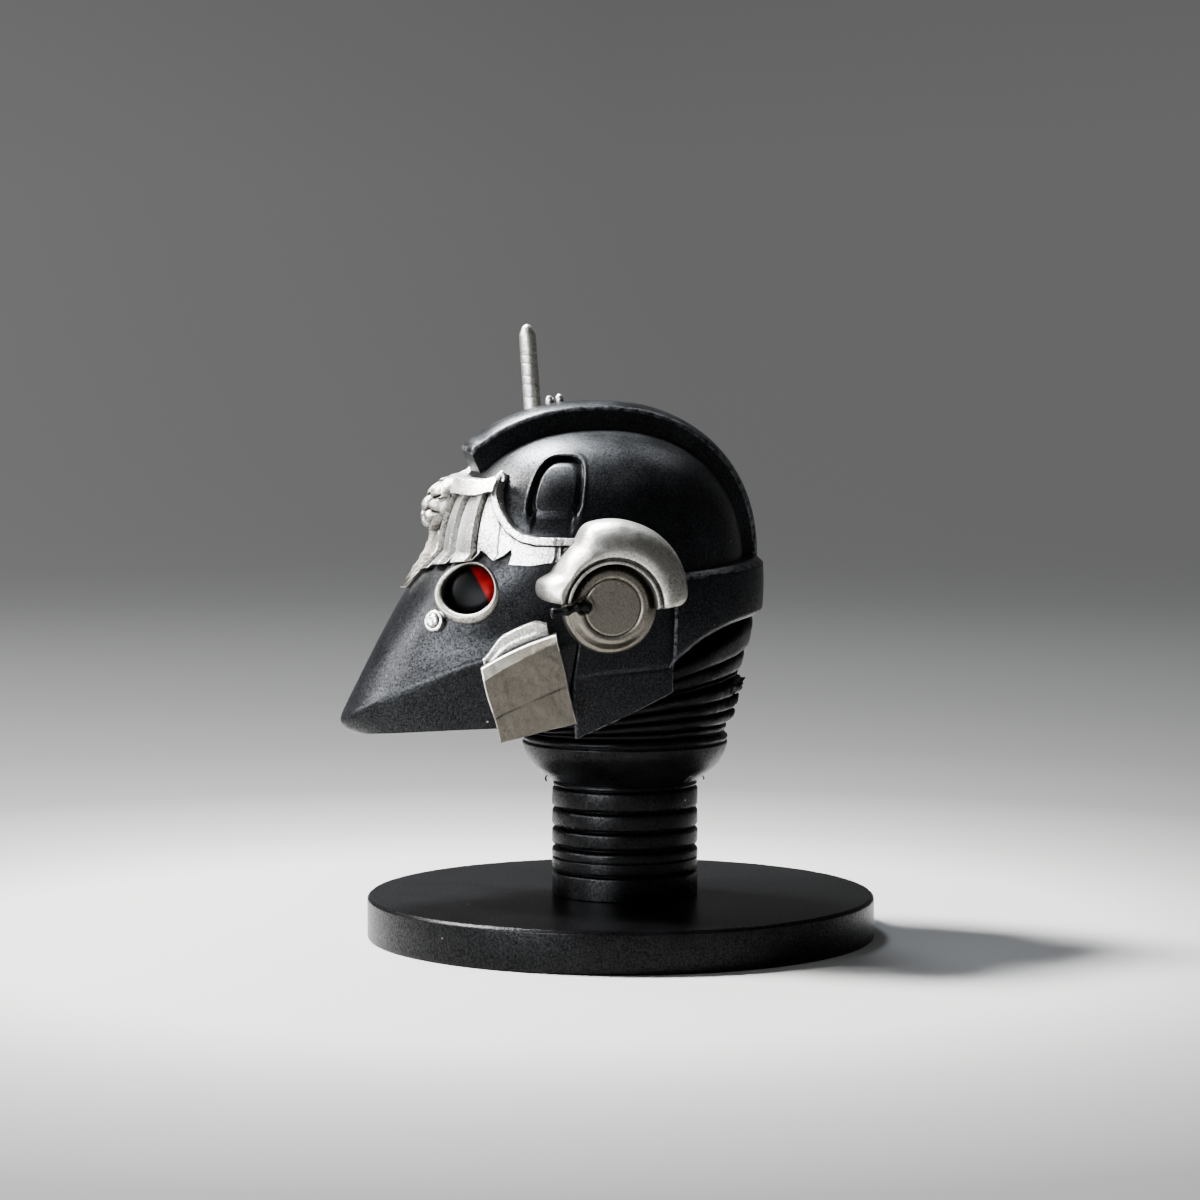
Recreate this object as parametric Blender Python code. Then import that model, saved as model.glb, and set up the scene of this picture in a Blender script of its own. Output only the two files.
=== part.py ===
"""Miniature beaked costume helmet on its display stand.

Metres, +Z up. The helmet faces -Y and its left side is +X. The origin is the centre of the
stand's underside. The head form is one surface that the skull shell, the visor and every plate
share, so that they follow each other when a size changes.
"""

import math

import bmesh
import bpy
from mathutils import Vector

MM = 0.001

# Degrees all the way round a bearing
FULL_TURN = 360.0

# Fit between neighbouring pieces
GAP = 0.3 * MM

# Stand
BASE_RADIUS = 30.0 * MM
BASE_THICK = 5.0 * MM
BASE_EDGE = 0.4 * MM
POST_RADIUS = 8.6 * MM
POST_HEIGHT = 13.4 * MM
POST_FOOT = 2.6 * MM
POST_RIBS = 4
POST_GROOVE = 0.55 * MM
NECK_Y = 0.5 * MM

# Neck collar and bellows
COLLAR_HEIGHT = 5.2 * MM
COLLAR_FOOT_RADIUS = 9.3 * MM
COLLAR_RIM_RADIUS = 12.2 * MM
COLLAR_RIM_WIDTH = 1.3 * MM
COLLAR_DISH = 1.2 * MM
BELLOWS_FOOT_RADIUS = 12.0 * MM
BELLOWS_FRONT_RISE = 1.9 * MM
BELLOWS_BACK_REACH = 15.6 * MM
BELLOWS_FOLDS = 6
BELLOWS_FOLD_DEPTH = 1.1 * MM
BELLOWS_WALL = 1.2 * MM
# Where in a fold its crest ends and its root lies, as shares of the fold
FOLD_CREST = 0.42
FOLD_ROOT = 0.62

# Head form: the surface that the shell and the visor lie on
NECK_TO_EQUATOR = 20.4 * MM
HEAD_CENTRE_Y = -3.3 * MM
HEAD_HALF_WIDTH = 15.5 * MM
HEAD_FRONT = 18.0 * MM
HEAD_BACK = 17.5 * MM
CROWN_RISE = 15.8 * MM
CROWN_ROUNDNESS = 2.25
PLAN_ROUNDNESS = 2.25
JAW_DEPTH = 20.0 * MM
JAW_TAPER = 0.07
SHELL_WALL = 1.3 * MM
SHELL_STEP_BEARING = 112.0
SHELL_STEP_SPREAD = 0.05

# Visor and beak
BROW_JOIN_RISE = 1.6 * MM
FACE_DROP = 21.4 * MM
BEAK_REACH = 12.1 * MM
VISOR_REAR_BEARING = 77.0
VISOR_WALL = 1.2 * MM
# How far the cutter of the hollow runs past the visor: degrees behind it and a length above
HOLLOW_PAST_REAR = 8.0
HOLLOW_PAST_TOP = 2.0 * MM
# Sections of the face from the brow down to the edge of the beak's floor. drop_nose and
# drop_rear are shares of FACE_DROP, reach of BEAK_REACH and width of HEAD_HALF_WIDTH.
FACE_COLUMNS = ("drop_nose", "drop_rear", "reach", "width", "roundness")
FACE_SECTIONS = (
    (0.000, 0.000, 0.000, 0.997, 2.25),
    (0.200, 0.160, 0.310, 0.992, 2.10),
    (0.450, 0.360, 0.585, 0.988, 1.92),
    (0.700, 0.520, 0.820, 0.982, 1.80),
    (0.850, 0.600, 0.950, 0.978, 1.76),
    (0.925, 0.650, 1.000, 0.975, 1.75),
    (0.975, 0.800, 0.960, 0.915, 1.80),
    (1.000, 0.930, 0.860, 0.840, 1.90),
)
CREASE_ROW = 5
# Steps along and up the face from which its outward direction is taken
NORMAL_TURN = 1.0
NORMAL_STEP = 0.4 * MM

# Comb over the crown
COMB_HALF_WIDTH = 3.3 * MM
COMB_HEIGHT = 2.4 * MM
COMB_REAR_HEIGHT = 1.5 * MM
COMB_CROWN = 0.8 * MM
COMB_FRONT_BEARING = 143.5
COMB_FRONT_LEAN = 4.0
COMB_FULL_BEARING = 80.0

# Nape band round the back
BAND_FRONT_BEARING = 108.2
BAND_TOP_SIDE = -0.6 * MM
BAND_TOP_BACK = 0.8 * MM
BAND_LOW_SIDE = 11.6 * MM
BAND_LOW_BACK = 6.3 * MM
BAND_PROUD_SIDE = 1.2 * MM
BAND_PROUD_BACK = 2.7 * MM
BAND_CHAMFER = 1.0 * MM
BAND_LAP = 4.0 * MM

# Brow plate, its boss and the leaf below it
BROW_THICK = 0.9 * MM
BROW_FLUTE = 0.45 * MM
BROW_TOP = 10.0 * MM
BROW_ARM_TOP = 3.5 * MM
BROW_ARM_LOW = 1.1 * MM
BROW_NOSE_LOW = -0.6 * MM
BROW_FAN_BEARING = 44.0
BROW_SWEEP_BEARING = 16.0
BROW_FLUTES = 4
# Bearing from which the lower edge climbs to the arm, and over how many degrees
BROW_CLIMB_BEARING = 4.0
BROW_CLIMB_SPREAD = 22.0
BOSS_RADIUS = 3.3 * MM
BOSS_HEIGHT = 2.1 * MM
BOSS_RISE = 6.9 * MM
BOSS_PETALS = 8
LEAF_LENGTH = 6.8 * MM
LEAF_HALF_WIDTH = 1.7 * MM
LEAF_THICK = 0.8 * MM

# Eyes
EYE_BEARING = 41.0
EYE_DROP = 2.9 * MM
EYE_RIM_RADIUS = 3.7 * MM
EYE_HOLE_RADIUS = 3.0 * MM
EYE_LENS_DEPTH = 1.2 * MM
EYE_RIM_THICK = 0.8 * MM
EYE_LENS_THICK = 0.9 * MM
LUG_REACH = 5.3 * MM
LUG_RADIUS = 1.25 * MM
LUG_ANGLE = 226.0
SCREW_RADIUS = 0.8 * MM
SCREW_HEIGHT = 0.45 * MM

# Ears
EAR_Y = -4.4 * MM
EAR_DROP = 4.1 * MM
EAR_DISC_RADIUS = 5.6 * MM
EAR_FACE_RADIUS = 4.3 * MM
EAR_DISC_HEIGHT = 3.3 * MM
HOOD_OUTER_RADIUS = 8.5 * MM
HOOD_RAISE = 1.4 * MM
HOOD_HEIGHT = 4.4 * MM
HOOD_LIP = 0.8 * MM
HOOD_START = -12.0
HOOD_END = 172.0
HOOD_STEP_ANGLE = 35.0
# The peg starts at a share of the disc's radius, runs just under the hood's front end and
# comes out past it.
PEG_RADIUS = 0.6 * MM
PEG_START = 0.72
PEG_PAST_HOOD = 0.132 * MM
PEG_UNDER_HOOD = 0.221 * MM

# Cheeks
GUARD_REAR_BEARING = 107.0
GUARD_LOW_FRONT = 19.6 * MM
GUARD_LOW_REAR = 14.4 * MM
GUARD_PROUD = 0.4 * MM
GUARD_WALL = 1.2 * MM
CHEEK_BEARING = 67.0
CHEEK_DROP = 13.4 * MM
CHEEK_LENGTH = 8.7 * MM
CHEEK_HEIGHT = 9.6 * MM
CHEEK_SKEW = 0.24
CHEEK_TOP_SLOPE = 0.48
CHEEK_LOW_SLOPE = 0.26
CHEEK_THICK = 1.7 * MM
CHEEK_BEVEL = 0.9 * MM
CHEEK_CROWN = 0.4 * MM
BACKPLATE_THICK = 0.7 * MM
BACKPLATE_SHOW = 1.6 * MM

# Temple recess in the skull shell
RECESS_BEARING = 66.4
RECESS_RISE = 8.9 * MM
RECESS_HALF_LENGTH = 2.75 * MM
RECESS_HALF_HEIGHT = 3.9 * MM
RECESS_DEPTH = 0.5 * MM
RECESS_TAPER = 0.1

# Antenna rod and the two studs behind the comb's edge
ROD_SIDE = 2.4 * MM
ROD_Y = -9.2 * MM
ROD_RADIUS = 1.0 * MM
ROD_TIP_RADIUS = 0.85 * MM
ROD_LENGTH = 12.4 * MM
ROD_LEAN = 4.0
ROD_FOOT_RADIUS = 1.7 * MM
ROD_FOOT_HEIGHT = 1.0 * MM
STUD_RADIUS = 0.5 * MM
STUD_BEARINGS = (101.0, 104.5)
STUD_SIDE = 0.62

# Heights that the sizes above set
POST_LOW = BASE_THICK + GAP
POST_HIGH = POST_LOW + POST_HEIGHT
COLLAR_LOW = POST_HIGH + GAP
COLLAR_HIGH = COLLAR_LOW + COLLAR_HEIGHT
BELLOWS_LOW = COLLAR_HIGH + GAP
EQUATOR_Z = COLLAR_HIGH + NECK_TO_EQUATOR
JOIN_Z = EQUATOR_Z + BROW_JOIN_RISE

AROUND = 28


def finish(name, colour, roughness, metallic):
    """A material with the part's colour, roughness and metallic value."""
    material = bpy.data.materials.new(name)
    material.use_nodes = True
    shader = material.node_tree.nodes["Principled BSDF"]
    shader.inputs["Base Color"].default_value = (*colour, 1.0)
    shader.inputs["Roughness"].default_value = roughness
    shader.inputs["Metallic"].default_value = metallic
    return material


def add_object(name, points, faces, material, smooth_below=40.0):
    """One closed solid from its points and faces, with its normals facing out."""
    mesh = bpy.data.meshes.new(name)
    mesh.from_pydata([tuple(p) for p in points], [], faces)
    work = bmesh.new()
    work.from_mesh(mesh)
    bmesh.ops.remove_doubles(work, verts=work.verts, dist=1e-7)
    bmesh.ops.recalc_face_normals(work, faces=work.faces)
    work.to_mesh(mesh)
    work.free()
    mesh.shade_smooth()
    mesh.set_sharp_from_angle(angle=math.radians(smooth_below))
    mesh.materials.append(material)
    obj = bpy.data.objects.new(name, mesh)
    bpy.context.scene.collection.objects.link(obj)
    return obj


def add_plate(name, outer, inner, material):
    """A plate between two grids of points, closed round its four edges."""
    rows, columns = len(outer), len(outer[0])
    points = [p for row in outer for p in row] + [p for row in inner for p in row]
    under = rows * columns
    faces = []
    for i in range(rows - 1):
        for j in range(columns - 1):
            a, b = i * columns + j, (i + 1) * columns + j
            faces.append((a, a + 1, b + 1, b))
            faces.append((under + a, under + b, under + b + 1, under + a + 1))
    for i in range(rows - 1):
        for j in (0, columns - 1):
            a, b = i * columns + j, (i + 1) * columns + j
            faces.append((a, b, under + b, under + a))
    for j in range(columns - 1):
        for i in (0, rows - 1):
            a = i * columns + j
            faces.append((a, a + 1, under + a + 1, under + a))
    return add_object(name, points, faces, material)


def add_loft(name, rings, material):
    """A solid through closed rings of points, capped at both ends."""
    count = len(rings[0])
    points = [p for ring in rings for p in ring]
    faces = []
    for i in range(len(rings) - 1):
        for j in range(count):
            a, b = i * count + j, i * count + (j + 1) % count
            faces.append((a, b, b + count, a + count))
    faces.append(tuple(range(count)))
    faces.append(tuple(range((len(rings) - 1) * count, len(rings) * count)))
    return add_object(name, points, faces, material)


def add_turned(name, profile, material, sides=AROUND):
    """A solid turned about its own Z from a closed profile of (radius, height) points."""
    points, rings = [], []
    for radius, height in profile:
        if radius < 1e-7:
            rings.append([len(points)] * sides)
            points.append((0.0, 0.0, height))
            continue
        rings.append(list(range(len(points), len(points) + sides)))
        for k in range(sides):
            turn = 2 * math.pi * k / sides
            points.append((radius * math.cos(turn), radius * math.sin(turn), height))
    faces = []
    for i, ring in enumerate(rings):
        after = rings[(i + 1) % len(rings)]
        for k in range(sides):
            corners = [ring[k], ring[(k + 1) % sides], after[(k + 1) % sides], after[k]]
            kept = [c for n, c in enumerate(corners) if c not in corners[:n]]
            if len(kept) > 2:
                faces.append(tuple(kept))
    return add_object(name, points, faces, material)


def stand_up(obj, point, direction):
    """Puts a turned piece at a point with its own Z along a direction."""
    obj.location = point
    obj.rotation_mode = "QUATERNION"
    obj.rotation_quaternion = Vector(direction).to_track_quat("Z", "Y")


def cut(obj, cutter):
    """Cuts the cutter out of the object and leaves the cutter as a wire guide."""
    cutter.hide_render = True
    cutter.display_type = "WIRE"
    modifier = obj.modifiers.new("cut_" + cutter.name, "BOOLEAN")
    modifier.operation = "DIFFERENCE"
    modifier.solver = "EXACT"
    modifier.object = cutter


def power(value, exponent):
    """A signed power, for superellipse outlines."""
    return math.copysign(abs(value) ** exponent, value)


def blend(a, b, share):
    return a + (b - a) * share


def ease(share):
    share = min(max(share, 0.0), 1.0)
    return share * share * (3 - 2 * share)


def from_front(bearing):
    """How many degrees a bearing lies from the front, on either side."""
    return abs((bearing + FULL_TURN / 2) % FULL_TURN - FULL_TURN / 2)


def plan_point(bearing, height, reach, width, roundness):
    """A point of a head outline. Bearing 0 is the front and 90 the left side, in degrees."""
    turn = math.radians(bearing)
    return Vector(
        (
            width * power(math.sin(turn), 2 / roundness),
            HEAD_CENTRE_Y - reach * power(math.cos(turn), 2 / roundness),
            height,
        )
    )


def level_share(height, proud=0.0):
    """How large the head outline is at a height, as a share of its size at the equator."""
    if height > EQUATOR_Z:
        up = min((height - EQUATOR_Z) / (CROWN_RISE + proud), 1.0)
        return (1 - up**CROWN_ROUNDNESS) ** (1 / CROWN_ROUNDNESS)
    return 1 - JAW_TAPER * ((EQUATOR_Z - height) / JAW_DEPTH) ** 2


def head_point(bearing, height, proud=0.0):
    """A point of the head form, standing proud of it by a distance."""
    share = level_share(height, proud)
    reach = (HEAD_FRONT if from_front(bearing) < FULL_TURN / 4 else HEAD_BACK) + proud
    return plan_point(
        bearing, height, reach * share, (HEAD_HALF_WIDTH + proud) * share, PLAN_ROUNDNESS
    )


def face_section(row):
    """The face's section values at a row, which may lie between two sections of the table."""
    last = len(FACE_SECTIONS) - 1
    row = min(max(row, 0.0), float(last))
    low = min(int(row), last - 1)
    t = row - low
    a, b, c, d = (FACE_SECTIONS[min(max(low + k, 0), last)] for k in (-1, 0, 1, 2))
    values = []
    for p, q, r, s in zip(a, b, c, d):
        slope_in, slope_out = (r - p) / 2, (s - q) / 2
        values.append(
            q * (2 * t**3 - 3 * t**2 + 1)
            + slope_in * (t**3 - 2 * t**2 + t)
            + r * (3 * t**2 - 2 * t**3)
            + slope_out * (t**3 - t**2)
        )
    return dict(zip(FACE_COLUMNS, values))


def face_row_point(bearing, row, proud=0.0):
    """A point of the face at a row of its section table."""
    section = face_section(row)
    rear = ease(abs(bearing) / VISOR_REAR_BEARING)
    drop = FACE_DROP * blend(section["drop_nose"], section["drop_rear"], rear)
    lift = -proud * ease((row - CREASE_ROW) / 2)
    share = level_share(JOIN_Z)
    reach = HEAD_FRONT * share + BEAK_REACH * section["reach"] + proud
    width = HEAD_HALF_WIDTH * section["width"] + proud
    return plan_point(bearing, JOIN_Z - drop + lift, reach, width, section["roundness"])


def face_point(bearing, height, proud=0.0):
    """A point of the face or, above the brow join, of the head form, at a height."""
    if height >= JOIN_Z:
        return head_point(bearing, height, proud)
    low, high = 0.0, float(len(FACE_SECTIONS) - 1)
    for _ in range(30):
        middle = (low + high) / 2
        if face_row_point(bearing, middle).z > height:
            low = middle
        else:
            high = middle
    return face_row_point(bearing, low, proud)


def face_normal(bearing, height):
    """The outward direction of the face at a bearing and a height."""
    here = face_point(bearing, height)
    along = face_point(bearing + NORMAL_TURN, height) - here
    up = face_point(bearing, height + NORMAL_STEP) - here
    return along.cross(up).normalized()


def bearing_at(y, height, proud=0.0):
    """The bearing at which the head form reaches a place, seen from the side."""
    low, high = 0.0, 180.0
    for _ in range(30):
        middle = (low + high) / 2
        if head_point(middle, height, proud).y < y:
            low = middle
        else:
            high = middle
    return low


def side_x(y, height, proud=0.0):
    """How far out the left side of the head form lies at a place, seen from the side."""
    return head_point(bearing_at(y, height, proud), height, proud).x


def dome_radius(x, bearing, proud=0.0):
    """Distance from the head's centre line to the dome, in the upright plane at x.

    The bearing runs in that plane: 0 is the back, 90 the crown and 180 the front.
    """
    turn = math.radians(bearing)
    reach = (HEAD_FRONT if math.cos(turn) < 0 else HEAD_BACK) + proud
    low, high = 0.0, 3 * HEAD_FRONT
    for _ in range(40):
        middle = (low + high) / 2
        plan = (abs(x) / (HEAD_HALF_WIDTH + proud)) ** PLAN_ROUNDNESS
        plan += abs(middle * math.cos(turn) / reach) ** PLAN_ROUNDNESS
        up = abs(middle * math.sin(turn) / (CROWN_RISE + proud)) ** CROWN_ROUNDNESS
        if plan ** (CROWN_ROUNDNESS / PLAN_ROUNDNESS) + up < 1:
            low = middle
        else:
            high = middle
    return low


def dome_place(x, bearing, radius):
    """The point at a bearing and a radius in the upright plane at x."""
    turn = math.radians(bearing)
    return Vector(
        (x, HEAD_CENTRE_Y + radius * math.cos(turn), EQUATOR_Z + radius * math.sin(turn))
    )


def sides():
    """The two sides of the helmet: a name and the sign of X."""
    return (("left", 1), ("right", -1))


def on_side(point, sign):
    return Vector((point[0] * sign, point[1], point[2]))


def make_stand(plastic):
    """A turned disc with a small chamfer, and a ribbed post on it."""
    add_turned(
        "stand_base",
        [
            (0, 0),
            (BASE_RADIUS, 0),
            (BASE_RADIUS, BASE_THICK - BASE_EDGE),
            (BASE_RADIUS - BASE_EDGE, BASE_THICK),
            (0, BASE_THICK),
        ],
        plastic,
        sides=64,
    )
    profile = [(0, POST_LOW), (POST_RADIUS, POST_LOW), (POST_RADIUS, POST_LOW + POST_FOOT)]
    rib = (POST_HEIGHT - POST_FOOT) / POST_RIBS
    for k in range(POST_RIBS):
        low = POST_LOW + POST_FOOT + k * rib
        profile.append((POST_RADIUS - POST_GROOVE, low + 0.08 * rib))
        profile.append((POST_RADIUS - POST_GROOVE, low + 0.16 * rib))
        profile.append((POST_RADIUS, low + 0.36 * rib))
        profile.append((POST_RADIUS, low + 0.80 * rib))
    profile.append((POST_RADIUS - POST_GROOVE, POST_HIGH))
    profile.append((0, POST_HIGH))
    post = add_turned("stand_post", profile, plastic)
    post.location.y = NECK_Y


def make_collar(plastic):
    """A dish with a raised rim, which the bellows' foot stands in."""
    rise = COLLAR_HEIGHT
    spread = COLLAR_RIM_RADIUS - COLLAR_FOOT_RADIUS
    inside = COLLAR_RIM_RADIUS - COLLAR_RIM_WIDTH
    foot = COLLAR_FOOT_RADIUS
    collar = add_turned(
        "neck_collar",
        [
            (0, COLLAR_LOW),
            (foot, COLLAR_LOW),
            (foot + 0.45 * spread, COLLAR_LOW + 0.22 * rise),
            (foot + 0.80 * spread, COLLAR_LOW + 0.52 * rise),
            (COLLAR_RIM_RADIUS, COLLAR_LOW + 0.84 * rise),
            (COLLAR_RIM_RADIUS - 0.25 * COLLAR_RIM_WIDTH, COLLAR_HIGH),
            (inside, COLLAR_HIGH),
            (inside, COLLAR_HIGH - COLLAR_DISH),
            (0, COLLAR_HIGH - COLLAR_DISH),
        ],
        plastic,
    )
    collar.location.y = NECK_Y


def bellows_ring(share, inset):
    """A ring of the bellows. They fan open towards the back, where the helmet's edge is high."""
    front = inset - BELLOWS_FOOT_RADIUS
    back = blend(BELLOWS_FOOT_RADIUS, BELLOWS_BACK_REACH - NECK_Y, share**0.7) - inset
    low = BELLOWS_LOW + BELLOWS_FRONT_RISE * share
    high = blend(BELLOWS_LOW, EQUATOR_Z - BAND_LOW_BACK - GAP, share)
    half, middle = (back - front) / 2, (back + front) / 2
    ring = []
    for k in range(AROUND):
        turn = 2 * math.pi * k / AROUND
        y = NECK_Y + middle + half * math.cos(turn)
        z = blend(low, high, (1 + math.cos(turn)) / 2)
        ring.append(Vector((half * math.sin(turn), y, z)))
    return ring


def bellows_foot(radius, height):
    """A level ring of the bellows' foot, which stands inside the collar's rim."""
    ring = []
    for k in range(AROUND):
        turn = 2 * math.pi * k / AROUND
        ring.append(Vector((radius * math.sin(turn), NECK_Y + radius * math.cos(turn), height)))
    return ring


def make_bellows(rubber):
    """A hollow ribbed tube, open from the collar up into the helmet."""
    seat = COLLAR_HIGH - COLLAR_DISH + GAP
    foot = COLLAR_RIM_RADIUS - COLLAR_RIM_WIDTH - GAP
    outer = [bellows_foot(foot, seat), bellows_foot(foot, BELLOWS_LOW), bellows_ring(0.0, 0.0)]
    step = 1.0 / BELLOWS_FOLDS
    for k in range(BELLOWS_FOLDS):
        outer.append(bellows_ring((k + FOLD_CREST) * step, 0.0))
        outer.append(bellows_ring((k + FOLD_ROOT) * step, BELLOWS_FOLD_DEPTH))
        outer.append(bellows_ring((k + 1.0) * step, 0.0))
    inset = BELLOWS_FOLD_DEPTH + BELLOWS_WALL
    bore = BELLOWS_FOOT_RADIUS - inset
    inner = [bellows_ring(1.0, inset), bellows_ring(0.5, inset), bellows_foot(bore, seat)]
    rings = outer + inner
    points = [p for ring in rings for p in ring]
    faces = []
    for i in range(len(rings)):
        for j in range(AROUND):
            a, b = i * AROUND, ((i + 1) % len(rings)) * AROUND
            k = (j + 1) % AROUND
            faces.append((a + j, a + k, b + k, b + j))
    add_object("neck_bellows", points, faces, rubber)


def skull_rim(bearing):
    """Height of the shell's lower edge: high over the face and the ears, low at the back."""
    if from_front(bearing) < SHELL_STEP_BEARING:
        return JOIN_Z + GAP
    return EQUATOR_Z - BAND_LAP


def skull_bearings():
    """Columns round the shell, with a close pair on each side where its edge steps down."""
    before = SHELL_STEP_BEARING - SHELL_STEP_SPREAD
    after = SHELL_STEP_BEARING + SHELL_STEP_SPREAD
    face, nape = AROUND // 2 + 3, AROUND // 2 - 3
    bearings = [blend(-before, before, k / face) for k in range(face + 1)]
    bearings += [blend(after, FULL_TURN - after, k / nape) for k in range(nape + 1)]
    return bearings


def skull_surface(proud, rows, bearings):
    """Rows of points from the shell's lower edge up to the crown, without the crown point."""
    grid = []
    for i in range(rows):
        row = []
        for bearing in bearings:
            rim = skull_rim(bearing)
            share = i / rows
            up = max(rim - EQUATOR_Z, 0.0) / CROWN_RISE
            start = math.asin(up ** (CROWN_ROUNDNESS / 2))
            turn = blend(start, math.pi / 2, share)
            height = (CROWN_RISE + proud) * math.sin(turn) ** (2 / CROWN_ROUNDNESS)
            drop = min(rim - EQUATOR_Z, 0.0) * max(1 - 2 * share, 0.0)
            level = rim if i == 0 else EQUATOR_Z + height + drop
            row.append(head_point(bearing, level, proud))
        grid.append(row)
    return grid


def make_skull(plastic):
    """The hollow dome, open below, with a pressed recess in each temple."""
    bearings = skull_bearings()
    around = len(bearings)
    rows = 9
    outer = skull_surface(0.0, rows, bearings)
    inner = skull_surface(-SHELL_WALL, rows, bearings)
    points = [p for row in outer for p in row] + [p for row in inner for p in row]
    top = len(points)
    points.append(Vector((0, HEAD_CENTRE_Y, EQUATOR_Z + CROWN_RISE)))
    points.append(Vector((0, HEAD_CENTRE_Y, EQUATOR_Z + CROWN_RISE - SHELL_WALL)))
    under = rows * around
    faces = []
    for j in range(around):
        k = (j + 1) % around
        for i in range(rows - 1):
            a, b = i * around, (i + 1) * around
            faces.append((a + j, a + k, b + k, b + j))
            faces.append((under + a + j, under + b + j, under + b + k, under + a + k))
        last = (rows - 1) * around
        faces.append((last + j, last + k, top))
        faces.append((under + last + k, under + last + j, top + 1))
        faces.append((j, under + j, under + k, k))
    shell = add_object("skull_shell", points, faces, plastic)
    for side, sign in sides():
        cut(shell, recess_cutter(side, sign, plastic))


def recess_cutter(side, sign, material):
    """A block that presses the temple recess into the shell, its floor parallel to the dome."""
    rows, columns = 9, 7
    floor, lid = [], []
    for i in range(rows):
        v = blend(-0.98, 0.98, i / (rows - 1))
        half = RECESS_HALF_LENGTH * (1 - RECESS_TAPER * v) * (1 - abs(v) ** 3.5) ** (1 / 2.5)
        height = EQUATOR_Z + RECESS_RISE + RECESS_HALF_HEIGHT * v
        degrees = math.degrees(half / (HEAD_HALF_WIDTH * level_share(height)))
        floor_row, lid_row = [], []
        for j in range(columns):
            bearing = RECESS_BEARING + blend(-degrees, degrees, j / (columns - 1))
            floor_row.append(on_side(head_point(bearing, height, -RECESS_DEPTH), sign))
            lid_row.append(on_side(head_point(bearing, height, 3 * RECESS_DEPTH), sign))
        floor.append(floor_row)
        lid.append(lid_row)
    return add_plate("recess_cutter_" + side, lid, floor, material)


def comb_height(bearing):
    """The comb is lowest where it meets the nape band and full from the crown on."""
    return blend(COMB_REAR_HEIGHT, COMB_HEIGHT, ease(bearing / COMB_FULL_BEARING))


def make_comb(plastic):
    """The raised band over the crown, from the forehead down to the nape band."""
    stop = EQUATOR_Z + BAND_TOP_BACK + GAP
    rear = math.degrees(math.asin((stop - EQUATOR_Z) / HEAD_BACK))
    steps, lanes = 18, 6
    rings = []
    for i in range(steps + 1):
        share = i / steps
        ring = []
        for k in range(lanes + 1):
            x = blend(-COMB_HALF_WIDTH, COMB_HALF_WIDTH, k / lanes)
            bearing = blend(rear, COMB_FRONT_BEARING, share)
            ring.append(dome_place(x, bearing, dome_radius(x, bearing) + GAP))
        for k in range(lanes + 1):
            x = blend(COMB_HALF_WIDTH, -COMB_HALF_WIDTH, k / lanes)
            lean = COMB_FRONT_LEAN * share**6
            bearing = blend(rear, COMB_FRONT_BEARING, share) - lean
            edge = dome_radius(COMB_HALF_WIDTH, bearing) + GAP + comb_height(bearing)
            crown = COMB_CROWN * (1 - (x / COMB_HALF_WIDTH) ** 2)
            ring.append(dome_place(x, bearing, edge + crown))
        if i == 0:
            for p in ring:
                p.z = stop
        rings.append(ring)
    add_loft("crest_comb", rings, plastic)


def make_band(plastic):
    """The nape guard: a thick band round the back, chamfered along its top."""
    columns = 25
    outer, inner = [], []
    stations = (("low", 0.0), ("low", 0.45), ("high", 0.5), ("high", 1.0), ("ledge", 1.0))
    for kind, share in stations:
        outer_row, inner_row = [], []
        for j in range(columns):
            rear = FULL_TURN - BAND_FRONT_BEARING
            bearing = blend(BAND_FRONT_BEARING, rear, j / (columns - 1))
            side = abs(bearing - FULL_TURN / 2) / (FULL_TURN / 2 - BAND_FRONT_BEARING)
            top = EQUATOR_Z + blend(BAND_TOP_BACK, BAND_TOP_SIDE, side)
            low = EQUATOR_Z - blend(BAND_LOW_BACK, BAND_LOW_SIDE, side**3.3)
            proud = blend(BAND_PROUD_BACK, BAND_PROUD_SIDE, ease(side * 1.2 - 0.2))
            shoulder = top - 0.6 * BAND_CHAMFER
            height = blend(low, shoulder, share) if kind != "ledge" else top
            level = proud - (BAND_CHAMFER * min(1, proud / BAND_PROUD_BACK) if kind == "ledge" else 0)
            outer_row.append(head_point(bearing, height, level))
            inner_row.append(head_point(bearing, height, GAP))
        outer.append(outer_row)
        inner.append(inner_row)
    add_plate("nape_band", outer, inner, plastic)


def face_solid(name, proud, rear, overrun, material):
    """The closed block under the face's surface, cut square at the brow and behind the cheeks."""
    lanes = 10
    bearings = [rear * power(k / lanes, 1.15) for k in range(-lanes, lanes + 1)]
    rows = [0.0, 0.7, 1.4, 2.1, 3.0, 4.0, 4.5, 5.0, 5.5, 6.0, 7.0]
    grid = [[face_row_point(b, row, proud) for b in bearings] for row in rows]
    if overrun:
        lifted = [p + Vector((0, 0, overrun)) for p in grid[0]]
        grid.insert(0, lifted)
    columns = len(bearings)
    points = [p for row in grid for p in row]
    faces = []
    for i in range(len(grid) - 1):
        for j in range(columns - 1):
            a, b = i * columns + j, (i + 1) * columns + j
            faces.append((a, a + 1, b + 1, b))
    for i in (0, len(grid) - 1):
        for j in range(lanes):
            a, b = i * columns + j, i * columns + columns - 1 - j
            corners = [a, a + 1, b - 1, b]
            faces.append(tuple(c for n, c in enumerate(corners) if c not in corners[:n]))
    for i in range(len(grid) - 1):
        a, b = i * columns, (i + 1) * columns
        faces.append((a, b, b + columns - 1, a + columns - 1))
    return add_object(name, points, faces, material)


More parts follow.
